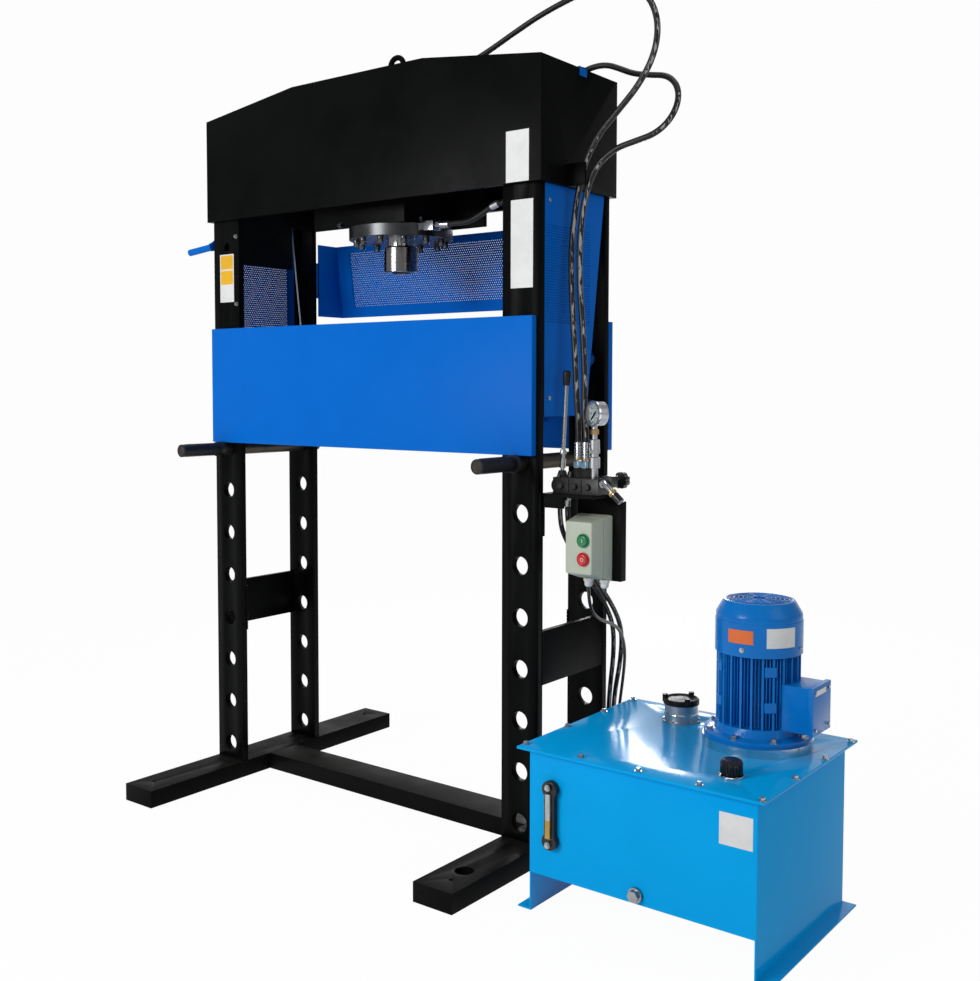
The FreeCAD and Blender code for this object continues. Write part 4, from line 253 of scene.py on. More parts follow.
materials = {}
for name, row in finishes.items():
    values = {**plainFinish, **row}
    material, tree, shader = newMaterial(name, {"Metallic": values["metal"], "Coat Weight": values["coat"],
                                                "Coat Roughness": 0.12, "Specular IOR Level": values["shine"]})
    finish = addNode(tree, "ShaderNodeGroup", {"node_tree": finishGroup, "Cloud Scale": values["cloud"],
                                               "Grain Scale": values["grain"]}).outputs
    scuff = maskOf(tree, scratchGroup, values["scuff"])
    colour = mixColours(tree, finish["Cloud"], values["colour"], values["second"])
    colour = mixColours(tree, scuff, colour, [min(1, part * 1.5 + 0.03) for part in values["second"]])
    colour = mixColours(tree, maskOf(tree, dustGroup, values["dust"]), colour, (0.30, 0.28, 0.25))
    if values["marks"]:
        colour = mixColours(tree, maskOf(tree, markGroup, values["marks"]), colour, (0.42, 0.42, 0.40))
    tree.links.new(colour, shader.inputs["Base Color"])
    rough = addNode(tree, "ShaderNodeMapRange", {"To Min": values["rough"][0], "To Max": values["rough"][1]},
                    {"Value": mathNode(tree, "MAXIMUM", finish["Cloud"], scuff)})
    tree.links.new(rough.outputs[0], shader.inputs["Roughness"])
    bump = addNode(tree, "ShaderNodeBump", {"Distance": 0.0004, "Strength": values["bump"]},
                   {"Height": finish["Grain"]})
    tree.links.new(bump.outputs[0], shader.inputs["Normal"])
    materials[name] = material
materials["clearWindow"] = newMaterial("clearWindow", {"Base Color": (0.9, 0.95, 0.95, 1), "Roughness": 0.04,
                                                       "Transmission Weight": 1, "IOR": 1.45})[0]

slotFinish = {"black_paint": "blackPaint", "blue_paint": "bluePaint", "tank_paint": "tankPaint",
              "motor_paint": "motorPaint", "machined_steel": "machinedSteel", "dark_steel": "darkSteel",
              "chrome": "chromePlate", "zinc": "zincPlate", "aluminium": "castAluminium", "rubber": "hoseRubber",
              "wire_rope": "ropeWire", "grey_plastic": "boxPlastic", "white_plastic": "whitePlastic",
              "green_plastic": "greenPlastic", "red_plastic": "redPlastic", "black_plastic": "blackPlastic",
              "cast_black": "castBlack"}
nodeFinish = {"foot_left": "footPaint", "foot_right": "footPaint", "cross_beam": "footPaint",
              "grip_left": "gripRubber", "grip_right": "gripRubber", "valve_lever": "machinedSteel",
              "pump": "turnedBright", "gauge_needle": "blackPlastic", "filler_cap": "capPlastic",
              "filler_neck": "castAluminium", "hose_fittings": "fittingZinc"}
for part in frame["record"]["subparts"]:
    node = frame["nodes"][part["node"]]
    node.data.materials.clear()
    node.data.materials.append(materials[nodeFinish.get(part["node"], slotFinish[part["material_slot"]])])
print("stage: finishes")

upWay = (0, 0, 1)


# mesh tools
def several(shapes):  # joins point and face lists into one
    points, faces, count = [], [], 0
    for somePoints, someFaces in shapes:
        points.append(np.asarray(somePoints, float))
        faces += [[int(i) + count for i in face] for face in someFaces]
        count += len(somePoints)
    return np.concatenate(points), faces


def newPiece(name, shapes, finish, body="frame", angle=35):  # shapes as one welded mesh, sharp past the angle
    points, faces = several(shapes)
    mesh = bpy.data.meshes.new(name)
    mesh.from_pydata(points.tolist(), [], faces)
    work = bmesh.new()
    work.from_mesh(mesh)
    bmesh.ops.remove_doubles(work, verts=work.verts, dist=0.00001)
    bmesh.ops.recalc_face_normals(work, faces=work.faces)
    work.to_mesh(mesh)
    work.free()
    mesh.shade_smooth()
    mesh.set_sharp_from_angle(angle=math.radians(angle))
    mesh.materials.append(materials[finish])
    piece = addObject(name, mesh)
    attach(piece, body)
    return piece


def gridFaces(rows, columns, wrap):  # quads between neighbours in a grid; wrap closes each row
    row, column = np.meshgrid(np.arange(rows - 1), np.arange(columns if wrap else columns - 1), indexing="ij")
    after = (column + 1) % columns
    return np.stack([row * columns + column, row * columns + after, (row + 1) * columns + after,
                     (row + 1) * columns + column], axis=-1).reshape(-1, 4)


def axes(direction):  # two ways at right angles to the direction and to each other, and the direction, all of length 1
    main = Vector(direction).normalized()
    helper = Vector((1, 0, 0)) if abs(main.x) < 0.9 else Vector((0, 1, 0))
    first = main.cross(helper).normalized()
    return np.array(first), np.array(main.cross(first)), np.array(main)


def turnedShape(profile, at, direction, steps=24):  # each radius and height of the profile goes round the axis
    first, second, main = axes(direction)
    angle = np.linspace(0, 2 * math.pi, steps, endpoint=False)
    ring = np.cos(angle)[:, None] * first + np.sin(angle)[:, None] * second
    radius, height = np.array(profile, float).T
    points = np.array(at, float) + radius[:, None, None] * ring + height[:, None, None] * main
    return points.reshape(-1, 3), gridFaces(len(profile), steps, True)


def turned(name, profile, at, direction, finish, steps, body="frame", angle=35):  # turnedShape as a piece of its own
    return newPiece(name, [turnedShape(profile, at, direction, steps)], finish, body, angle)


def blockShape(low, high):  # a box from its low corner to its high corner
    x, y, z = zip(low, high)
    points = [(a, b, c) for c in z for b in y for a in x]
    return points, [(0, 2, 3, 1), (4, 5, 7, 6), (0, 1, 5, 4), (2, 6, 7, 3), (0, 4, 6, 2), (1, 3, 7, 5)]


def bevelled(piece, width, segments=2):  # rounds the edges sharper than 35 degrees over this width
    modifier = piece.modifiers.new("edge", "BEVEL")
    modifier.width = width
    modifier.segments = segments
    modifier.limit_method = "ANGLE"
    modifier.angle_limit = math.radians(35)
    return piece


def blocks(name, boxes, finish, bevel=0.001):  # boxes of low and high corners as one piece of the frame
    return bevelled(newPiece(name, [blockShape(*box) for box in boxes], finish), bevel)


def slab(corners, thick):  # a flat sheet with any outline, given its thickness as a vector
    corners, thick = np.array(corners, float), np.array(thick, float)
    count = len(corners)
    sides = [(i, (i + 1) % count, (i + 1) % count + count, i + count) for i in range(count)]
    return np.concatenate([corners, corners + thick]), [tuple(range(count)),
                                                        tuple(range(2 * count - 1, count - 1, -1))] + sides


def radialBar(centre, angle, inner, outer, half, height, taper=1):  # an upright bar that points outwards at the angle
    out = np.array([math.cos(angle), math.sin(angle), 0])
    wide = np.array([-math.sin(angle), math.cos(angle), 0]) * half
    base = np.array(centre, float)
    return slab([base + out * inner - wide, base + out * inner + wide, base + out * outer + wide * taper,
                 base + out * outer - wide * taper], (0, 0, height))


def roundSpots(x, y, z, radius, degrees):  # spots on a level circle at these angles
    return [(x + radius * math.cos(angle), y + radius * math.sin(angle), z) for angle in np.radians(degrees)]


def boltShape(at, direction, across, height, washer=0):  # six sides with a domed top, on a washer
    base, shapes = np.array(at, float), []
    if washer:
        thick = washer * 0.07
        shapes.append(turnedShape([(0, 0), (washer / 2, 0), (washer / 2, thick), (0, thick)], at, direction, 20))
        base = base + axes(direction)[2] * thick
    reach = across / 2 / math.cos(math.pi / 6)
    levels = [(0, 0), (reach, 0), (reach, height * 0.86), (across / 2 * 0.94, height), (0, height)]
    return several(shapes + [turnedShape(levels, base, direction, 6)])


def bolts(name, spots, direction, across, height, washer=0, finish="zincPlate"):  # a bolt at each spot, as one piece
    return newPiece(name, [boltShape(spot, direction, across, height, washer) for spot in spots], finish, angle=30)


def straightLine(start, end, step=0.004, least=2):  # even steps from start to end
    start, end = np.array(start), np.array(end)
    along = np.linspace(0, 1, max(least, int(np.linalg.norm(end - start) / step)))[:, None]
    return start * (1 - along) + end * along


def arcLine(x, y, z, radius, fromDeg, toDeg, steps=16):  # part of a circle about x and z, in the X-Z plane
    angle = np.radians(np.linspace(fromDeg, toDeg, steps))
    return np.stack([x + radius * np.cos(angle), np.full(steps, y), z + radius * np.sin(angle)], 1)


def tangents(line):  # the way along a line at each of its points, of length 1
    tangent = np.gradient(line, axis=0)
    return tangent / np.linalg.norm(tangent, axis=1)[:, None]


def tubeShape(points, radius, sides=10, ripple=0, ripples=1):  # a circle carried along a path; ripple swells it
    points = np.asarray(points, float)
    tangent = tangents(points)
    first = np.cross(tangent, np.array([0.31, 0.57, 0.76]))
    first /= np.linalg.norm(first, axis=1)[:, None]
    second = np.cross(tangent, first)
    angle = np.linspace(0, 2 * math.pi, sides, endpoint=False)
    swell = radius * (1 + ripple * np.sin(np.linspace(0, 2 * math.pi * ripples, len(points))))
    ring = np.cos(angle)[None, :, None] * first[:, None] + np.sin(angle)[None, :, None] * second[:, None]
    body = points[:, None] + swell[:, None, None] * ring
    ends = [tuple(range(sides - 1, -1, -1)), tuple(range((len(points) - 1) * sides, len(points) * sides))]
    return body.reshape(-1, 3), gridFaces(len(points), sides, True).tolist() + ends


# hoses and the motor's cable: each is one smooth curve through the run of points that it was laid along
cords = {
    "upperHose": dict(replaces="upper_hose", width=0.0155, length=1.874, stiffness="stiff", finish="hoseRubber",
        points=[(0.6985, -0.1, 1.09), (0.6985, -0.1, 1.13), (0.688, -0.094, 1.205), (0.678, -0.086, 1.305),
                (0.661, -0.075, 1.43), (0.648, -0.064, 1.57), (0.653, -0.05, 1.69), (0.672, -0.044, 1.79),
                (0.716, -0.045, 1.862), (0.775, -0.045, 1.914), (0.836, -0.046, 1.97), (0.878, -0.044, 2.04),
                (0.882, -0.038, 2.12), (0.846, -0.033, 2.19), (0.78, -0.026, 2.232), (0.69, -0.012, 2.242),
                (0.59, 0, 2.23), (0.5, 0.002, 2.207), (0.42, 0.002, 2.178), (0.34, 0.001, 2.146),
                (0.2621, 0, 2.1201), (0.2111, 0, 2.0691)]),
    "lowerHose": dict(replaces="lower_hose", width=0.0155, length=1.684, stiffness="stiff", finish="hoseRubber",
        points=[(0.7205, -0.1, 1.09), (0.7205, -0.1, 1.118), (0.709, -0.092, 1.166), (0.706, -0.084, 1.25),
                (0.694, -0.074, 1.36), (0.676, -0.064, 1.48), (0.668, -0.054, 1.6), (0.674, -0.044, 1.7),
                (0.7, -0.037, 1.782), (0.752, -0.03, 1.824), (0.81, -0.022, 1.838), (0.8624, -0.0121, 1.8517),
                (0.8977, 0.0002, 1.8848), (0.91, 0.0162, 1.9302), (0.896, 0.0337, 1.9743), (0.8589, 0.0501, 2.0065),
                (0.806, 0.062, 2.018), (0.75, 0.072, 2.032), (0.704, 0.08, 2.054), (0.6618, 0.0843, 2.0726),
                (0.6167, 0.079, 2.072), (0.5778, 0.0643, 2.0526), (0.548, 0.034, 2.008), (0.535, -0.004, 1.952),
                (0.528, -0.038, 1.896), (0.527, -0.06, 1.84), (0.527, -0.06, 1.79)]),
    "portHose": dict(replaces="port_hose", width=0.0155, length=0.216, stiffness="stiff", finish="hoseRubber",
        points=[(0.453, -0.06, 1.72), (0.421, -0.06, 1.72), (0.384, -0.06, 1.708), (0.347, -0.06, 1.689),
                (0.312, -0.06, 1.6773), (0.276, -0.06, 1.677), (0.245, -0.06, 1.677)]),
    "pressureHose": dict(replaces="pressure_hose", width=0.013, length=1.387, stiffness="stiff", finish="hoseRubber",
        points=[(0.64, -0.095, 0.923), (0.64, -0.095, 0.89), (0.64, -0.078, 0.846), (0.64, -0.02, 0.784),
                (0.639, 0.05, 0.716), (0.638, 0.124, 0.646), (0.634, 0.182, 0.572), (0.621, 0.206, 0.482),
                (0.608, 0.208, 0.386), (0.603, 0.207, 0.286), (0.606, 0.208, 0.194), (0.624, 0.212, 0.114),
                (0.664, 0.218, 0.05), (0.728, 0.218, 0.012), (0.792, 0.206, 0.018), (0.834, 0.176, 0.066),
                (0.849, 0.14, 0.132), (0.85, 0.122, 0.2), (0.85, 0.122, 0.242)]),
    "returnHose": dict(replaces="return_hose", width=0.013, length=1.439, stiffness="stiff", finish="hoseRubber",
        points=[(0.658, -0.088, 0.923), (0.658, -0.088, 0.89), (0.657, -0.072, 0.846), (0.656, -0.02, 0.784),
                (0.657, 0.054, 0.712), (0.659, 0.132, 0.64), (0.651, 0.2, 0.56), (0.631, 0.228, 0.466),
                (0.61, 0.23, 0.368), (0.605, 0.229, 0.272), (0.612, 0.23, 0.182), (0.638, 0.236, 0.104),
                (0.69, 0.242, 0.046), (0.758, 0.242, 0.01), (0.832, 0.222, 0.016), (0.884, 0.182, 0.064),
                (0.902, 0.142, 0.132), (0.905, 0.122, 0.2), (0.905, 0.122, 0.242)]),
    "motorCable": dict(replaces="motor_cable", width=0.009, length=1.848, stiffness="medium", finish="blackPlastic",
        points=[(0.712, -0.07, 0.72), (0.712, -0.07, 0.694), (0.71, -0.052, 0.652), (0.704, -0.006, 0.624),
                (0.698, 0.052, 0.606), (0.69, 0.11, 0.584), (0.676, 0.164, 0.544), (0.656, 0.21, 0.486),
                (0.628, 0.246, 0.406), (0.611, 0.254, 0.32), (0.607, 0.254, 0.232), (0.618, 0.258, 0.146),
                (0.654, 0.264, 0.072), (0.714, 0.27, 0.026), (0.8, 0.274, 0.006), (0.9, 0.268, 0.0048),
                (0.99, 0.246, 0.016), (1.068, 0.212, 0.054), (1.124, 0.182, 0.122), (1.15, 0.164, 0.206),
                (1.162, 0.156, 0.292), (1.178, 0.146, 0.368), (1.206, 0.13, 0.428), (1.2447, 0.1119, 0.4705),
                (1.2773, 0.0842, 0.4902), (1.288, 0.058, 0.495), (1.288, 0.032, 0.495)]),
}
for name, cord in cords.items():
    curve = bpy.data.curves.new(name, "CURVE")
    curve.dimensions = "3D"
    curve.bevel_depth = cord["width"] / 2
    curve.bevel_resolution = 4
    curve.resolution_u = 10
    curve.use_fill_caps = True
    spline = curve.splines.new("NURBS")
    spline.points.add(len(cord["points"]) - 1)
    spline.points.foreach_set("co", np.insert(np.array(cord["points"]), 3, 1, axis=1).ravel())
    spline.order_u = 3
    spline.use_endpoint_u = True
    curve.materials.append(materials[cord["finish"]])
    piece = addObject(name, curve)
    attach(piece, "frame")
    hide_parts(cord["replaces"])
print("stage: cords")

# floor, backdrop and light
room = {"floorColour": (0.88, 0.88, 0.88), "whiteShare": 0.97, "airColour": (0.92, 0.94, 0.97), "worldLevel": 0.36,
        "sweep": [(-9, 0), (5, 0), (6.2, 0.25), (6.9, 1.0), (7.1, 2.2), (7.1, 8)], "halfWidth": 9}
stageMaterial, tree, shader = newMaterial("paleFloor", {"Base Color": (*room["floorColour"], 1), "Roughness": 0.8,
                                                        "Specular IOR Level": 0.1})
seenBy = tree.nodes.new("ShaderNodeLightPath").outputs  # what the camera, gloss and glass see of the floor is whiter
share = mathNode(tree, "MAXIMUM", seenBy["Is Camera Ray"], seenBy["Is Transmission Ray"])
share = mathNode(tree, "MAXIMUM", share, seenBy["Is Glossy Ray"])
share = mathNode(tree, "MULTIPLY", share, room["whiteShare"])
whiter = addNode(tree, "ShaderNodeEmission", {"Strength": 1.0})
mixed = addNode(tree, "ShaderNodeMixShader", links={"Fac": share, 1: shader.outputs[0], 2: whiter.outputs[0]})
tree.links.new(mixed.outputs[0], tree.nodes["Material Output"].inputs["Surface"])
sweep = np.array(room["sweep"])
across = np.linspace(-room["halfWidth"], room["halfWidth"], 3)
floorPoints = (sweep[:, None, :1] * np.array([-math.sin(yaw), math.cos(yaw), 0]) + across[None, :, None] * sidewise
               + sweep[:, None, 1:] * np.array(upWay))
floorMesh = bpy.data.meshes.new("floorSweep")
floorMesh.from_pydata(floorPoints.reshape(-1, 3).tolist(), [], gridFaces(len(sweep), 3, False).tolist())
floorMesh.materials.append(stageMaterial)
floorObject = addObject("floorSweep", floorMesh)
floorMesh.shade_smooth()
world = bpy.data.worlds.new("softRoom")
scene.world = world
world.use_nodes = True
air = world.node_tree.nodes["Background"].inputs
air["Color"].default_value = (*room["airColour"], 1)
air["Strength"].default_value = room["worldLevel"]
lamps = {"keyLamp": dict(place=(-0.9, -4.8, 2.5), aim=(0.4, 0, 1.0), size=(1.8, 1.8), power=150),
         "fillLamp": dict(place=(4.6, -0.6, 2.9), aim=(0.6, 0, 0.8), size=(2.2, 2.2), power=20),
         "topLamp": dict(place=(0.2, 0.6, 5.2), aim=(0.3, 0, 1.0), size=(3.0, 3.0), power=42),
         "lidGlare": dict(place=(-1.02, 3.17, 1.50), aim=(0.86, -0.08, 0.39), size=(0.56, 0.66), power=22)}
for name, lamp in lamps.items():
    light = bpy.data.lights.new(name, "AREA")
    light.shape = "RECTANGLE"
    light.size, light.size_y = lamp["size"]
    light.energy = lamp["power"]
    lampObject = addObject(name, light)
    aim = Vector(lamp["aim"]) - Vector(lamp["place"])
    lampObject.matrix_world = Matrix.Translation(lamp["place"]) @ aim.to_track_quat("-Z", "Y").to_matrix().to_4x4()
    lampObject.visible_camera = False


# wire ropes: six strands laid round a middle one; each strand is a helix about the rope's own line
def layRope(name, line, body):
    line = np.asarray(line, float)
    tangent = tangents(line)
    outward = np.cross(tangent, np.array([0, 1, 0]))
    outward /= np.linalg.norm(outward, axis=1)[:, None]
    other = np.cross(tangent, outward)
    travelled = np.concatenate([[0], np.cumsum(np.linalg.norm(np.diff(line, axis=0), axis=1))])
    shapes = [tubeShape(line, rope["strand"], 6)]
    for strand in range(6):
        angle = 2 * math.pi * (travelled / rope["lay"] + strand / 6)
        helix = line + rope["reach"] * (np.cos(angle)[:, None] * outward + np.sin(angle)[:, None] * other)
        shapes.append(tubeShape(helix, rope["strand"], 6))
    return newPiece(name, shapes, "ropeWire", body, 60)


rope = {"strand": 0.00085, "reach": 0.00165, "lay": 0.032, "lift": 0.05, "y": 0.093, "sheaveX": 0.448,
        "sheaveZ": 1.2, "sheave": 0.03}
hangingRopes = {"ropeLeftStrands": dict(node="rope_left", foot=(-0.478, 0.093, 1.2003), top=(-0.5262, 0.07, 1.768),
                                        length=0.5677),
                "ropeRightStrands": dict(node="rope_right", foot=(0.478, 0.093, 1.2), top=(0.478, 0.093, 1.7),
                                         length=0.5)}
for name, run in hangingRopes.items():  # each hanging rope is laid straight from its foot to its top
    piece = layRope(name, straightLine(run["foot"], run["top"]), "frame")
    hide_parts(run["node"])
    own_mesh(piece)
lowest = rope["sheaveZ"] - rope["sheave"]  # the third goes round the sheaves' lower halves and under the table
acrossTable = np.concatenate([
    arcLine(-rope["sheaveX"], rope["y"], rope["sheaveZ"], rope["sheave"], 180, 270),
    straightLine((-rope["sheaveX"], rope["y"], lowest), (rope["sheaveX"], rope["y"], lowest))[1:-1],
    arcLine(rope["sheaveX"], rope["y"], rope["sheaveZ"], rope["sheave"], 270, 360)])
tableRope = layRope("ropeAcrossTable", acrossTable, "table")
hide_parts("rope_table")
print("stage: ropes")


# perforated sheet: a field of eight-cornered holes in a brick pattern, two faces and the holes' walls
def perforated(origin, along, upward, thick, width, height, pitch, hole):
    origin, along, upward = np.array(origin, float), np.array(along, float), np.array(upward, float)
    inward = np.cross(along, upward) * thick
    columns, rows = int(width / pitch), int(height / (pitch * 0.866))
    cellWidth, cellHeight = width / (columns + 0.5), height / rows
    rim = np.array([(1, 1), (0, 1), (-1, 1), (-1, 0), (-1, -1), (0, -1), (1, -1), (1, 0)]) \
        * (cellWidth / 2, cellHeight / 2)
    way = np.arctan2(rim[:, 1], rim[:, 0])
    inner = np.stack([np.cos(way), np.sin(way)], 1) * hole / 2
    column, row = np.meshgrid(np.arange(columns), np.arange(rows))
    centre = np.stack([(column + 0.5 + 0.5 * (row % 2)) * cellWidth, (row + 0.5) * cellHeight], -1).reshape(-1, 1, 2)
    flat = np.concatenate([centre + rim, centre + inner], 1)  # 16 points a cell
    place = origin + flat[..., :1] * along + flat[..., 1:] * upward
    points = [np.concatenate([place, place + inward], 1).reshape(-1, 3)]
    step = np.arange(8)
    after = (step + 1) % 8
    face = np.stack([step, after, after + 8, step + 8], 1)
    cell = np.concatenate([face, face[:, ::-1] + 16, np.stack([step + 8, after + 8, after + 24, step + 24], 1)])
    faces = (cell[None] + 32 * np.arange(columns * rows)[:, None, None]).reshape(-1, 4).tolist()
    count = len(points[0])
    for index in range(rows):  # a half cell fills the row at the end where it falls short
        start = columns * cellWidth if index % 2 == 0 else 0
        end, low, high = start + cellWidth / 2, index * cellHeight, (index + 1) * cellHeight
        corners = np.array([origin + a * along + b * upward for a, b in
                            ((start, low), (end, low), (end, high), (start, high))])
        points += [corners, corners + inward]
        faces += [[count, count + 1, count + 2, count + 3], [count + 7, count + 6, count + 5, count + 4]]
        count += 8
    return np.concatenate(points), faces


# side guards: a flat sheet with a slanting rear edge and a fold at the front, the left one the right one turned round
sideGuard = {"pitch": 0.0076, "hole": 0.0038, "low": 1.390, "high": 1.640, "front": -0.141, "back": 0.070,
             "sheet": 0.0025, "outer": 0.622, "edge": -0.145, "floor": 1.153, "top": 1.740, "lowEdge": 0.054,
             "topEdge": 0.138, "fold": 0.030}
outer, sheet, edge, front, back = (sideGuard[key] for key in ("outer", "sheet", "edge", "front", "back"))
floor, low, high, top = (sideGuard[key] for key in ("floor", "low", "high", "top"))


def guardStrip(start, bottom, head, end=None):  # a flat part from start to end, or to the straight slanting rear edge
    ends = [sideGuard["lowEdge"] + (z - floor) / (top - floor) * (sideGuard["topEdge"] - sideGuard["lowEdge"])
            if end is None else end for z in (bottom, head)]
    return slab([(outer, start, bottom), (outer, ends[0], bottom), (outer, ends[1], head), (outer, start, head)],
                (-sheet, 0, 0))


inner = outer - sideGuard["fold"]
points, faces = several([
    guardStrip(edge, floor, low), guardStrip(back, low, high), guardStrip(edge, low, high, front),
    guardStrip(edge, high, top),
    slab([(outer, edge, floor), (inner, edge, floor), (inner, edge, top), (outer, edge, top)], (0, sheet, 0)),
    perforated((outer, front, low), (0, 1, 0), upWay, -sheet, back - front, high - low, sideGuard["pitch"],
               sideGuard["hole"])])
for name, node, sign in (("guardRightSheet", "guard_right", 1), ("guardLeftSheet", "guard_left", -1)):
    piece = newPiece(name, [(points * (sign, sign, 1), faces)], "bluePaint", angle=30)
    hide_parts(node)

# rear guard: a leaning panel with a wing and an ear at each end
backGuard = {"pitch": 0.0078, "hole": 0.0038, "half": 0.5, "footY": 0.282, "topY": 0.250, "foot": 1.460, "top": 1.695,
             "sheet": 0.0025, "face": 0.165, "marginLow": 0.034, "marginHigh": 0.022, "marginSide": 0.060,
             "earOut": 0.545, "earIn": 0.4975, "earLow": 1.520, "earHigh": 1.635}
half, sheet, face = (backGuard[key] for key in ("half", "sheet", "face"))
panelFoot = np.array([0, backGuard["footY"], backGuard["foot"]])
panelTop = np.array([0, backGuard["topY"], backGuard["top"]])
panelLength = np.linalg.norm(panelTop - panelFoot)
lean = (panelTop - panelFoot) / panelLength


def panelPart(fromX, toX, fromUp, toUp):  # a flat part of the leaning panel
    return slab([panelFoot + (x, 0, 0) + lean * up for x, up in
                 ((fromX, fromUp), (toX, fromUp), (toX, toUp), (fromX, toUp))], (0, -sheet, 0))


fieldX = half - backGuard["marginSide"]
fieldLow, fieldHigh = backGuard["marginLow"], panelLength - backGuard["marginHigh"]
shapes = [panelPart(-half, half, 0, fieldLow), panelPart(-half, half, fieldHigh, panelLength),
          panelPart(-half, -fieldX, fieldLow, fieldHigh), panelPart(fieldX, half, fieldLow, fieldHigh),
          perforated(panelFoot + (fieldX, 0, 0) + lean * fieldLow, (-1, 0, 0), lean, sheet, 2 * fieldX,
                     fieldHigh - fieldLow, backGuard["pitch"], backGuard["hole"])]
for sign in (-1, 1):
    shapes.append(slab([(sign * half, face, panelFoot[2]), panelFoot + (sign * half, 0, 0),
                        panelTop + (sign * half, 0, 0), (sign * half, face, panelTop[2])], (-sign * sheet, 0, 0)))
    earFrom, earTo = sorted((sign * backGuard["earOut"], sign * backGuard["earIn"]))
    shapes.append(blockShape((earFrom, face, backGuard["earLow"]), (earTo, face + sheet, backGuard["earHigh"])))
piece = newPiece("rearGuardSheet", shapes, "bluePaint", angle=30)
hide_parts("rear_guard")
bolts("rearGuardScrews", [(x, 0.1675, z) for x in (-0.527, 0.527) for z in (1.545, 1.612)], (0, 1, 0), 0.010, 0.005,
      0.016)
bolts("sideGuardScrews", [(0.6195, -0.12, z) for z in (1.20, 1.70)], (1, 0, 0), 0.010, 0.004, 0.014)
print("stage: guards")

# bare plates and small fasteners on the press frame
plates = {"crownPlate": ((0.528, -0.1806, 1.742), (0.599, -0.1799, 1.870), "plateWhite"),
          "rightBarPlate": ((0.533, -0.1656, 1.478), (0.602, -0.1649, 1.700), "plateWhite"),
          "leftBarPlate": ((-0.594, -0.1656, 1.490), (-0.530, -0.1649, 1.638), "plateWhite"),
          "leftBarFieldTop": ((-0.590, -0.1660, 1.592), (-0.534, -0.1655, 1.634), "plateYellow"),
          "leftBarFieldMiddle": ((-0.590, -0.1660, 1.545), (-0.534, -0.1655, 1.587), "plateYellow"),
          "tankPlate": ((1.234, -0.3806, 0.277), (1.310, -0.3799, 0.346), "plateWhite"),
          "terminalStrip": ((1.3180, -0.078, 0.535), (1.3190, -0.016, 0.547), "plateWhite")}
for name, (low, high, finish) in plates.items():
    blocks(name, [(low, high)], finish, 0.0002)
bolts("barBolts", [(-0.518, -0.165, 1.690), (-0.517, -0.165, 1.483)], (0, -1, 0), 0.009, 0.006, 0.013)
blocks("hoseClip", [((0.6345, -0.009, 2.030), (0.638, 0.024, 2.053)),
                    ((0.6195, -0.009, 2.0495), (0.638, 0.024, 2.053))], "bluePaint", 0.0008)
bolts("cradleScrews", [(0.125, -0.050, 1.699)], (1, 0, 0), 0.014, 0.009, 0.020, "screwSteel")
bolts("carriageBolts", [(-0.120, -0.111, 1.696), (0.156, 0.097, 1.779)], (0, -1, 0), 0.014, 0.009, 0.020, "screwSteel")

# cylinder: bolted ring with its port boss, socket screws, rod and head, each turned about the ram's axis
cylinder = {"x": 0.014, "ring": 0.151, "ringLow": 1.652, "ringHigh": 1.6868, "ringEdge": 0.0015, "circle": 0.129,
            "screws": 12, "first": 15, "rod": 0.040, "spigot": 0.035, "gap": 0.0002, "head": 0.0495, "headLow": 1.560,
            "headHigh": 1.634, "socket": 0.030, "socketDepth": 0.0295, "rodTop": 2.030, "piston": 0.0745,
            "pistonLow": 1.980, "barrel": 0.0952, "barrelLow": 1.664, "collar": 0.102, "collarHigh": 1.6872,
            "boss": ((0.146, -0.075, 1.6660), (0.1665, -0.045, 1.6855))}
ramAxis = (cylinder["x"], 0, 0)
ring, ringLow, ringHigh, ringEdge = (cylinder[key] for key in ("ring", "ringLow", "ringHigh", "ringEdge"))
bore, spigot, rod = cylinder["rod"] + cylinder["gap"], cylinder["spigot"], cylinder["rod"]
ringShape = turnedShape([(bore, ringLow), (ring - ringEdge, ringLow), (ring, ringLow + ringEdge),
                         (ring, ringHigh - ringEdge), (ring - ringEdge, ringHigh), (cylinder["collar"], ringHigh),
                         (cylinder["collar"], cylinder["collarHigh"]), (cylinder["barrel"], cylinder["collarHigh"]),
                         (cylinder["barrel"], cylinder["barrelLow"]), (bore, cylinder["barrelLow"]), (bore, ringLow)],
                        ramAxis, upWay, 160)
ringPiece = newPiece("cylinderRing", [ringShape, blockShape(*cylinder["boss"])], "blackSteel")
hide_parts("cylinder_flange")
screwAngles = cylinder["first"] + np.arange(cylinder["screws"]) * 360 / cylinder["screws"]
screwPiece = newPiece("cylinderScrews", [
    turnedShape([(0, 0), (0.0092, 0), (0.0092, 0.0175), (0.0084, 0.019), (0.0046, 0.019), (0.0046, 0.011), (0, 0.011)],
                spot, (0, 0, -1)) for spot in roundSpots(cylinder["x"], 0, ringLow, cylinder["circle"], screwAngles)],
    "screwSteel")
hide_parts("flange_bolts")
headLow, headHigh, head = cylinder["headLow"], cylinder["headHigh"], cylinder["head"]
rodPiece = turned("ramRod", [(0, headLow + 0.030), (spigot, headLow + 0.030), (spigot, headHigh),
                             (rod, headHigh + 0.002), (rod, cylinder["pistonLow"]),
                             (cylinder["piston"], cylinder["pistonLow"]), (cylinder["piston"], cylinder["rodTop"]),
                             (0, cylinder["rodTop"])],
                  ramAxis, upWay, "chromePlate", 128, "ram")
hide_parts("ram_rod")
socketTop = headLow + cylinder["socketDepth"]
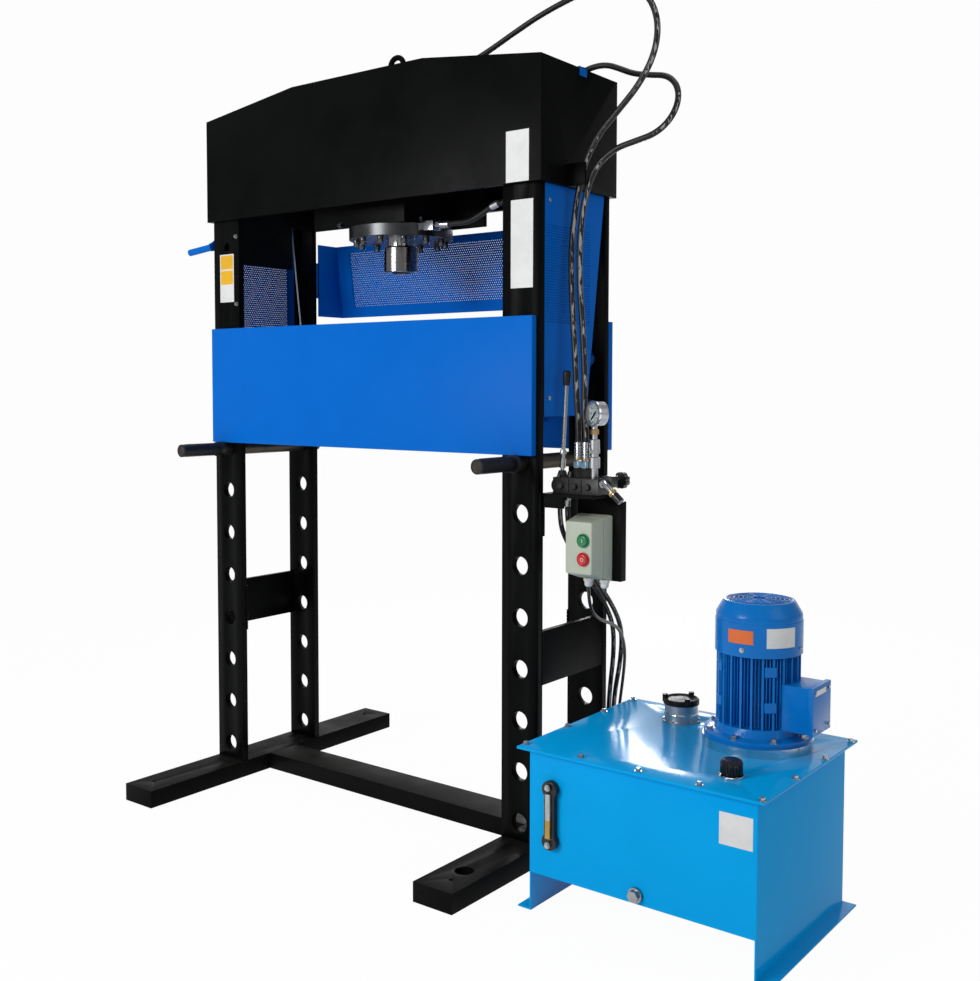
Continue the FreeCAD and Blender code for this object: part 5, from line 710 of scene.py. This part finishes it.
headPiece = turned("ramHead", [(0, socketTop), (cylinder["socket"], socketTop), (cylinder["socket"], headLow + 0.001),
                               (cylinder["socket"] + 0.001, headLow), (head - 0.0016, headLow),
                               (head, headLow + 0.0016), (head, headHigh - 0.004), (head - 0.0025, headHigh - 0.0015),
                               (spigot + cylinder["gap"], headHigh - 0.0015), (spigot + cylinder["gap"], socketTop)],
                   ramAxis, upWay, "ramSteel", 128, "ram")
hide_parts("ram_head")

# weld beads where plates and bars meet: a rippled tube along each run
weld = {"size": 0.0035, "step": 0.0022, "ripple": 0.16, "wave": 0.009}
beads = []
for sign in (-1, 1):
    beads += [((sign * x, y, 0.466), (sign * x, y, 0.604)) for y in (-0.145, 0.145) for x in (0.507, 0.620)]
    beads += [((sign * 0.510, y, 0.0505), (sign * 0.619, y, 0.0505)) for y in (-0.165, 0.165)]
newPiece("frameWelds", [
    tubeShape(straightLine(start, end, weld["step"], 8), weld["size"], 8, weld["ripple"],
              math.dist(start, end) / weld["wave"]) for start, end in beads], "blackPaint", angle=60)

# control valve: ribs, plugs and cap screws on the block, and the test coupling's ring and sleeve
valve = {"front": -0.128, "ribs": (0.686, 0.724), "plugs": (0.664, 0.705, 0.744), "plugZ": 0.979,
         "screws": ((0.652, -0.118), (0.766, -0.118), (0.766, -0.082), (0.684, -0.082)), "top": 1.0,
         "coupling": (0.7507, 0, -0.6607)}
blocks("valveRibs", [((x - 0.002, valve["front"] - 0.0022, 0.964), (x + 0.002, valve["front"], 0.996))
                     for x in valve["ribs"]], "castBlack", 0.0006)
bolts("valvePlugs", [(x, valve["front"], valve["plugZ"]) for x in valve["plugs"]], (0, -1, 0), 0.015, 0.006, 0.019,
      "castBlack")
bolts("valveScrews", [(x, y, valve["top"]) for x, y in valve["screws"]], upWay, 0.008, 0.006, 0.012, "screwSteel")
turned("couplingRing", [(0.0080, 0), (0.0108, 0), (0.0112, 0.0008), (0.0112, 0.0066), (0.0108, 0.0074),
                        (0.0080, 0.0074)], (0.813, -0.127, 0.9716), valve["coupling"], "brass", 32)
turned("couplingSleeve", [(0.0060, 0), (0.0096, 0), (0.0102, 0.0008), (0.0102, 0.0238), (0.0094, 0.0248),
                          (0, 0.0248)], (0.821, -0.127, 0.9646), valve["coupling"], "blackPlastic", 32)
print("stage: small fasteners")

# gauge: white dial with strokes and round numbers, a glass and a plated ring
gauge = {"at": (0.754, -0.100, 1.162), "turn": 26, "dial": 0.0284, "dialDepth": 0.0062, "low": -135, "high": 135,
         "strokes": 25, "strokeTo": 0.0262, "longEvery": 4, "numbers": ["0", "100", "200", "300", "400", "500", "600"],
         "numberAt": 0.0178, "numberSize": 0.0048, "stemX": 0.746}
gaugeTurn = math.radians(gauge["turn"])
gaugeWay = Vector((-math.sin(gaugeTurn), -math.cos(gaugeTurn), 0))
gaugeRight = Vector((math.cos(gaugeTurn), -math.sin(gaugeTurn), 0))
gaugeAt, dialDepth = Vector(gauge["at"]), gauge["dialDepth"]
turned("gaugeRing", [(0.0285, 0.0095), (0.0290, 0.0135), (0.0305, 0.0150), (0.0322, 0.0146), (0.0330, 0.0125),
                     (0.0330, 0.0085), (0.0315, 0.0070), (0.0285, 0.0070), (0.0285, 0.0095)],
       gaugeAt, gaugeWay, "chromePlate", 72)
turned("gaugeDial", [(0, dialDepth), (gauge["dial"], dialDepth), (gauge["dial"], dialDepth + 0.0004),
                     (0, dialDepth + 0.0004)], gaugeAt, gaugeWay, "whitePlastic", 72)
turned("gaugeGlass", [(0, 0.0112), (0.0287, 0.0112), (0.0287, 0.0122), (0.016, 0.0129), (0, 0.0132)],
       gaugeAt, gaugeWay, "clearWindow", 72, angle=60)


def dialWays(share):  # outwards and across on the dial, at this share of the scale from its low to its high end
    spot = math.radians(gauge["low"] + (gauge["high"] - gauge["low"]) * share)
    return (gaugeRight * math.sin(spot) + Vector(upWay) * math.cos(spot),
            gaugeRight * math.cos(spot) - Vector(upWay) * math.sin(spot))


strokes = []
for index in range(gauge["strokes"]):
    outward, wide = dialWays(index / (gauge["strokes"] - 1))
    long, half = (0.0045, 0.00045) if index % gauge["longEvery"] == 0 else (0.0025, 0.00025)
    corners = [gaugeAt + gaugeWay * (dialDepth + 0.0003) + outward * reach + wide * side for reach, side in
               ((gauge["strokeTo"] - long, -half), (gauge["strokeTo"] - long, half), (gauge["strokeTo"], half),
                (gauge["strokeTo"], -half))]
    strokes.append(slab(corners, gaugeWay * 0.0003))
newPiece("gaugeStrokes", strokes, "inkBlack", angle=30)
faceTurn = Matrix((gaugeRight, Vector(upWay), gaugeWay)).transposed().to_4x4()
work = bmesh.new()
for index, number in enumerate(gauge["numbers"]):
    font = bpy.data.curves.new("dialNumber", "FONT")
    font.body = number
    font.size = gauge["numberSize"]
    font.extrude = 0.0001
    font.align_x = "CENTER"
    font.align_y = "CENTER"
    holder = addObject("dialNumber", font)
    made = bpy.data.meshes.new_from_object(holder)
    outward = dialWays(index / (len(gauge["numbers"]) - 1))[0]
    place = gaugeAt + gaugeWay * (dialDepth + 0.0005) + outward * gauge["numberAt"]
    made.transform(Matrix.Translation(place) @ faceTurn)
    work.from_mesh(made)
    bpy.data.objects.remove(holder)
    bpy.data.meshes.remove(made)
joined = bpy.data.meshes.new("gaugeNumbers")
work.to_mesh(joined)
work.free()
joined.materials.append(materials["inkBlack"])
numbersPiece = addObject("gaugeNumbers", joined)
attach(numbersPiece, "frame")
stemX = gauge["stemX"]
bolts("gaugeBrass", [(stemX, -0.100, 1.110)], upWay, 0.019, 0.013, 0, "brass")
bolts("gaugeNut", [(stemX, -0.100, 1.062)], upWay, 0.024, 0.016)
turned("gaugeBand", [(0.0060, 0), (0.0125, 0), (0.0132, 0.001), (0.0132, 0.014), (0.0125, 0.015), (0.0060, 0.015)],
       (stemX, -0.100, 1.034), upWay, "blueZinc", 40)
leverWay = (0.05, 0, 1)
turned("leverGrip", [(0, -0.001), (0.0086, -0.001), (0.0094, 0.001), (0.0106, 0.024), (0.0103, 0.033),
                     (0.0072, 0.0368), (0, 0.0378)], (0.66125, -0.100, 1.233), leverWay, "gripRubber", 32, "lever")
turned("leverCollar", [(0.0052, 0), (0.0085, 0), (0.0085, 0.007), (0.0070, 0.011), (0.0052, 0.011)],
       (0.6524, -0.100, 1.058), leverWay, "zincPlate", 24, "lever")
print("stage: gauge")

# starter box: rings of a rounded outline from the wall to the front, with a seam and two button wells;
# back and front are the box's X from and to and its Z from and to
starter = {"back": (0.671, 0.772, 0.738, 0.905), "front": (0.680, 0.7576, 0.7596, 0.8915), "backY": -0.055,
           "frontY": -0.130, "corner": 0.006, "edge": 0.0035, "seam": 0.42, "seamDepth": 0.0012,
           "buttonX": 0.734, "startZ": 0.845, "stopZ": 0.798, "well": 0.01448, "wellDepth": 0.0145, "wellSides": 32}


def roundedOutline(xLow, xHigh, zLow, zHigh, radius):  # four quarter circles joined by straight sides
    quarter, spots = np.linspace(0, math.pi / 2, 7), []
    for first, (x, z) in enumerate(((xHigh - radius, zHigh - radius), (xLow + radius, zHigh - radius),
                                    (xLow + radius, zLow + radius), (xHigh - radius, zLow + radius))):
        angle = quarter + first * math.pi / 2
        spots.append(np.stack([x + radius * np.cos(angle), z + radius * np.sin(angle)], 1))
    return np.concatenate(spots)


seam, depth = starter["seam"], starter["frontY"] - starter["backY"]
levels = [(0, 0), (seam - 0.012, 0), (seam - 0.010, starter["seamDepth"]), (seam + 0.010, starter["seamDepth"]),
          (seam + 0.012, 0)] + [(1 + starter["edge"] / depth * (1 - math.sin(angle)),
                                 starter["edge"] * (1 - math.cos(angle))) for angle in np.linspace(0, math.pi / 2, 6)]
rings = []
for share, pulled in levels:  # share of the way to the front, and how far the outline is pulled in there
    limits = [b + (f - b) * share for b, f in zip(starter["back"], starter["front"])]
    flat = roundedOutline(limits[0] + pulled, limits[1] - pulled, limits[2] + pulled, limits[3] - pulled,
                          starter["corner"] - pulled * 0.5)
    rings.append(np.stack([flat[:, 0], np.full(len(flat), starter["backY"] + depth * share), flat[:, 1]], 1))
ringLength, sides = len(rings[0]), starter["wellSides"]
points, faces = [np.concatenate(rings)], gridFaces(len(rings), ringLength, True).tolist() + [list(range(ringLength))]
loops, count = [rings[-1]], len(rings) * ringLength
lookup = list(range(count - ringLength, count))
angle, step = np.linspace(0, 2 * math.pi, sides, endpoint=False), np.arange(sides)
for z in (starter["startZ"], starter["stopZ"]):
    well = np.stack([starter["buttonX"] + starter["well"] * np.cos(angle), np.full(sides, starter["frontY"]),
                     z + starter["well"] * np.sin(angle)], 1)
    loops.append(well)
    points += [well, well + (0, starter["wellDepth"], 0)]
    lookup += list(range(count, count + sides))
    after = (step + 1) % sides
    faces += (np.stack([step, after, after + sides, step + sides], 1) + count).tolist()
    faces.append(list(range(count + sides, count + 2 * sides)))
    count += 2 * sides
front = tessellate_polygon([[Vector((x, z, 0)) for x, y, z in loop] for loop in loops])
faces += [[lookup[i] for i in triangle] for triangle in front]
piece = newPiece("starterBox", [(np.concatenate(points), faces)], "boxPlastic", angle=40)
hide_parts("starter_box")
bolts("starterScrews", [(x, -0.1155, z) for z in (0.8845, 0.7665) for x in (0.6835, 0.7515)], (0, -1, 0), 0.0055,
      0.004)
capProfile = [(0, 0.0078), (0.01425, 0.0078), (0.01425, -0.0040), (0.0140, -0.0060), (0.0128, -0.0076),
              (0.0105, -0.0080), (0, -0.0078)]
collarProfile = [(0.0146, 0.0005), (0.0146, -0.0040), (0.0160, -0.0048), (0.0175, -0.0040), (0.0180, 0.0005),
                 (0.0146, 0.0005)]
for body, finish, node in (("start", "greenPlastic", "start_button"), ("stop", "redPlastic", "stop_button")):
    spot = (starter["buttonX"], starter["frontY"], starter[body + "Z"])
    cap = turned(body + "ButtonCap", capProfile, spot, (0, 1, 0), finish, 48, body, 50)
    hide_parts(node)
    turned(body + "ButtonCollar", collarProfile, spot, (0, 1, 0), finish, 48, angle=50)
newPiece("startSign", [slab([(0.7333, -0.1379, 0.8405), (0.7347, -0.1379, 0.8405), (0.7347, -0.1379, 0.8495),
                             (0.7333, -0.1379, 0.8495)], (0, -0.0003, 0))], "plateWhite", "start", 30)
turned("stopSign", [(0.0034, -0.0003), (0.0046, -0.0003), (0.0046, 0.0003), (0.0034, 0.0003), (0.0034, -0.0003)],
       (0.734, -0.1379, 0.798), (0, 1, 0), "plateWhite", 32, "stop", 30)
glandShapes = []
for x in (0.712, 0.760):
    glandShapes.append(turnedShape([(0, 0), (0.0062, 0), (0.0085, 0.0018), (0.0105, 0.006), (0.0105, 0.0145),
                                    (0.0075, 0.0145), (0.0075, 0.0165), (0, 0.0165)], (x, -0.070, 0.720), upWay, 18))
    glandShapes.append(turnedShape([(0, 0), (0.0125, 0), (0.0130, 0.001), (0.0130, 0.0065), (0.0110, 0.0085),
                                    (0, 0.0085)], (x, -0.070, 0.7345), upWay, 6))
glandPiece = newPiece("starterGlands", glandShapes, "whitePlastic", angle=30)
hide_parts("cable_glands")
print("stage: starter box")

# ribbed rings on the ferrules, bands, nuts and sleeves of the hoses, and a swell on the pin grips
hoseEnds = {"valveX": (0.6985, 0.7205), "valveY": -0.100, "tankX": (0.850, 0.905), "tankY": 0.122}
valveX, valveY = hoseEnds["valveX"], hoseEnds["valveY"]
ferrules = [turnedShape([(0.0098, 0), (0.0106, 0.001), (0.0106, 0.003), (0.0098, 0.004)], (x, valveY, z), upWay, 28)
            for x in valveX for z in (1.052, 1.060, 1.068, 1.076, 1.084)]
ferrules += [turnedShape([(0.0088, 0), (0.0095, 0.001), (0.0095, 0.003), (0.0088, 0.004)], (x, hoseEnds["tankY"], z),
                         upWay, 24) for x in hoseEnds["tankX"] for z in (0.246, 0.254, 0.262)]
newPiece("ferruleRings", ferrules, "zincPlate", angle=40)
newPiece("hoseBands", [turnedShape([(0.0090, 0), (0.0106, 0), (0.0112, 0.0006), (0.0112, 0.0034), (0.0106, 0.004),
                                    (0.0090, 0.004), (0.0090, 0)], (x, valveY, 1.0455), upWay, 32) for x in valveX],
         "brass", angle=40)
bolts("hoseNuts", [(x, valveY, 1.0265) for x in valveX], upWay, 0.0218, 0.016, 0, "blueZinc")
bolts("portNuts", [(x, valveY, 1.0000) for x in valveX], upWay, 0.0205, 0.024, 0, "castBlack")
newPiece("portHoseSleeves", [tubeShape(straightLine(start, end), radius, 20) for start, end, radius in (
    ((0.391, -0.06, 1.7103), (0.414, -0.06, 1.7177), 0.0096), ((0.437, -0.06, 1.72), (0.453, -0.06, 1.72), 0.0108))],
         "zincPlate", angle=40)
for sign, name, body in ((-1, "gripRidgesLeft", "left_pin"), (1, "gripRidgesRight", "right_pin")):
    ridges = [turnedShape([(0.0188, 0), (0.0197, 0.0012), (0.0197, 0.0030), (0.0188, 0.0042)],
                          (sign * 0.5645, -0.330 + 0.0085 * index, 1.0343), (0, 1, 0), 36) for index in range(13)]
    newPiece(name, ridges, "gripRubber", body, 40)
print("stage: hose ends and grips")

# power pack: the lid's screws and the level gauge
lidScrews = [(0.736, -0.376), (0.891, -0.379), (1.042, -0.384), (1.189, -0.384), (1.334, -0.391), (1.334, -0.222),
             (1.334, -0.054), (1.334, 0.106), (0.736, -0.201), (0.736, -0.030), (0.736, 0.118), (0.891, 0.122),
             (1.042, 0.122), (1.189, 0.122)]
bolts("lidScrews", [(x, y, 0.392) for x, y in lidScrews], upWay, 0.010, 0.0065, 0.017)
blocks("levelWindow", [((0.806, -0.4030, 0.190), (0.822, -0.4005, 0.296))], "clearWindow", 0.0012)
blocks("levelOil", [((0.8085, -0.4012, 0.192), (0.8195, -0.4002, 0.234))], "plateYellow", 0.0002)
blocks("levelScale", [((0.8085, -0.4012, 0.234), (0.8195, -0.4002, 0.294))], "plateWhite", 0.0002)
bolts("levelBolts", [(0.814, -0.401, 0.176), (0.814, -0.401, 0.310)], (0, -1, 0), 0.010, 0.005, 0.015)

# motor: ring bolts, fins but at the terminal box, pads, the cowl with its plates, screws and grille
motor = {"x": 1.162, "y": -0.035, "ringBolts": [-138, -93, -48, -4, 42, 87, 132, 177], "ringCircle": 0.115, "fins": 72,
         "finGap": 0.42, "finFoot": 0.452, "finLength": 0.160, "pads": [-49, -132, 131], "padFeet": (0.488, 0.570),
         "cowl": 0.101, "cowlTop": 0.7345, "grille": (0.018, 0.028, 0.038, 0.048, 0.058, 0.068), "spokes": 8}
motorX, motorY, cowlTop = motor["x"], motor["y"], motor["cowlTop"]
bolts("motorRingBolts", roundSpots(motorX, motorY, 0.4262, motor["ringCircle"], motor["ringBolts"]), upWay, 0.013,
      0.008, 0.020)
fins = [radialBar((motorX, motorY, motor["finFoot"]), angle, 0.083, 0.0965, 0.0013, motor["finLength"], 0.6)
        for angle in 2 * math.pi * np.arange(motor["fins"]) / motor["fins"]
        if abs((angle + math.pi) % (2 * math.pi) - math.pi) >= motor["finGap"]]
bevelled(newPiece("motorFins", fins, "motorPaint", angle=30), 0.0006, 1)
pads = [radialBar((motorX, motorY, z), angle, 0.082, 0.0985, 0.014, 0.024)
        for angle in np.radians(motor["pads"]) for z in motor["padFeet"]]
bevelled(newPiece("motorPads", pads, "motorPaint", angle=30), 0.002, 2)
cowl = turned("motorCowl", [(0.0985, 0.6141), (0.1010, 0.6141), (0.1010, 0.6900), (0.0995, 0.6920), (0.0995, 0.7020),
                            (0.0985, 0.7060), (0.0850, 0.7290), (0.0815, 0.7338), (0.0775, 0.7345), (0.0765, 0.7335),
                            (0.0755, 0.7325), (0.0120, 0.7325), (0, 0.7325), (0, 0.7300), (0.0760, 0.7300),
                            (0.0960, 0.6960), (0.0985, 0.6900), (0.0985, 0.6141)], (motorX, motorY, 0), upWay,
              "motorPaint", 96, angle=28)
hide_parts("motor_cowl")


def curvedPlate(name, fromDeg, toDeg, low, high, finish):  # part of a cylinder round the cowl with a small thickness
    angle = np.radians(np.linspace(fromDeg, toDeg, 12))
    inside, outside = motor["cowl"], motor["cowl"] + 0.0006
    sheet = [np.stack([motorX + r * np.cos(angle), motorY + r * np.sin(angle), np.full(12, z)], 1)
             for r, z in ((inside, low), (outside, low), (outside, high), (inside, high), (inside, low))]
    faces = gridFaces(5, 12, False).tolist() + [[0, 12, 24, 36], [11, 47, 35, 23]]
    return newPiece(name, [(np.concatenate(sheet), faces)], finish, angle=40)


curvedPlate("cowlPlateOrange", -108, -73, 0.645, 0.676, "plateOrange")
curvedPlate("cowlPlateWhite", -56, -14, 0.638, 0.683, "plateWhite")
cowlScrews = [boltShape(spot, (spot[0] - motorX, spot[1] - motorY, 0), 0.008, 0.004, 0.012)
              for spot in roundSpots(motorX, motorY, 0.630, 0.1008, [-88, 2, 92, 182])]
newPiece("cowlScrews", cowlScrews, "zincPlate", angle=30)
grille = [turnedShape([(radius - 0.0016, cowlTop), (radius - 0.0008, cowlTop + 0.002),
                       (radius + 0.0008, cowlTop + 0.002), (radius + 0.0016, cowlTop)], (motorX, motorY, 0), upWay, 48)
          for radius in motor["grille"]]
grille += [radialBar((motorX, motorY, cowlTop), angle, 0.014, 0.072, 0.0018, 0.0018)
           for angle in 2 * math.pi * np.arange(motor["spokes"]) / motor["spokes"]]
newPiece("cowlGrille", grille, "motorPaint", angle=40)
bolts("terminalScrews", [(1.3185, y, z) for y in (-0.076, 0.002) for z in (0.458, 0.543)], (1, 0, 0), 0.007, 0.003)
blocks("terminalSeam", [((1.3095, -0.0875, 0.4475), (1.3115, 0.0135, 0.5535))], "motorPaint", 0.0006)

# breather cap and filler neck
breather = {"x": 1.219, "y": -0.293, "ribs": 24, "screws": [-100, -40, 20, 80, 140, 200]}
neck = {"x": 0.932, "y": 0.020, "screws": [-150, -90, -30, 30, 90, 150]}
capRibs = [radialBar((breather["x"], breather["y"], 0.400), angle, 0.0215, 0.0243, 0.0016, 0.024)
           for angle in 2 * math.pi * np.arange(breather["ribs"]) / breather["ribs"]]
bevelled(newPiece("breatherRibs", capRibs, "blackPlastic", "breather_lid", 30), 0.0006, 1)
turned("breatherRing", [(0.0180, 0), (0.0275, 0), (0.0275, 0.0035), (0.0255, 0.0050), (0.0180, 0.0050)],
       (breather["x"], breather["y"], 0.392), upWay, "chromePlate", 48)
bolts("breatherScrews", roundSpots(breather["x"], breather["y"], 0.3955, 0.0268, breather["screws"]), upWay, 0.005,
      0.003)
turned("neckBead", [(0.0415, 0), (0.0435, 0.001), (0.0440, 0.003), (0.0435, 0.005), (0.0415, 0.006)],
       (neck["x"], neck["y"], 0.410), upWay, "chromePlate", 64, angle=50)
bolts("neckScrews", roundSpots(neck["x"], neck["y"], 0.3962, 0.0435, neck["screws"]), upWay, 0.005, 0.003)
print("stage: power pack")

# rounded edges on the welded frame, the table and the tank, so that edges catch the light
edges = {0.0005: ["hose_fittings"], 0.0010: ["control_stand", "tank"],
         0.0012: ["crown", "valve_body", "motor_housing"],
         0.0014: ["table_rear_plate", "tank_lid", "cylinder_cradle"], 0.0015: ["strut_left", "strut_right"],
         0.0016: ["upright_front_left", "upright_rear_left", "upright_front_right", "upright_rear_right", "gear_case"],
         0.0018: ["table_front_plate"], 0.0020: ["level_gauge"], 0.0022: ["foot_left", "foot_right", "cross_beam"]}
for width, node in ((width, node) for width, nodes in edges.items() for node in nodes):
    part = frame["nodes"][node]
    merge = part.modifiers.new("merge", "WELD")
    merge.merge_threshold = 0.00002
    flat = part.modifiers.new("flat", "DECIMATE")
    flat.decimate_type = "DISSOLVE"
    flat.angle_limit = math.radians(2)
    bevelled(part, width)
    part.modifiers["edge"].harden_normals = True
    part.modifiers["edge"].use_clamp_overlap = True
    part.data.shade_smooth()
print("stage: edges")
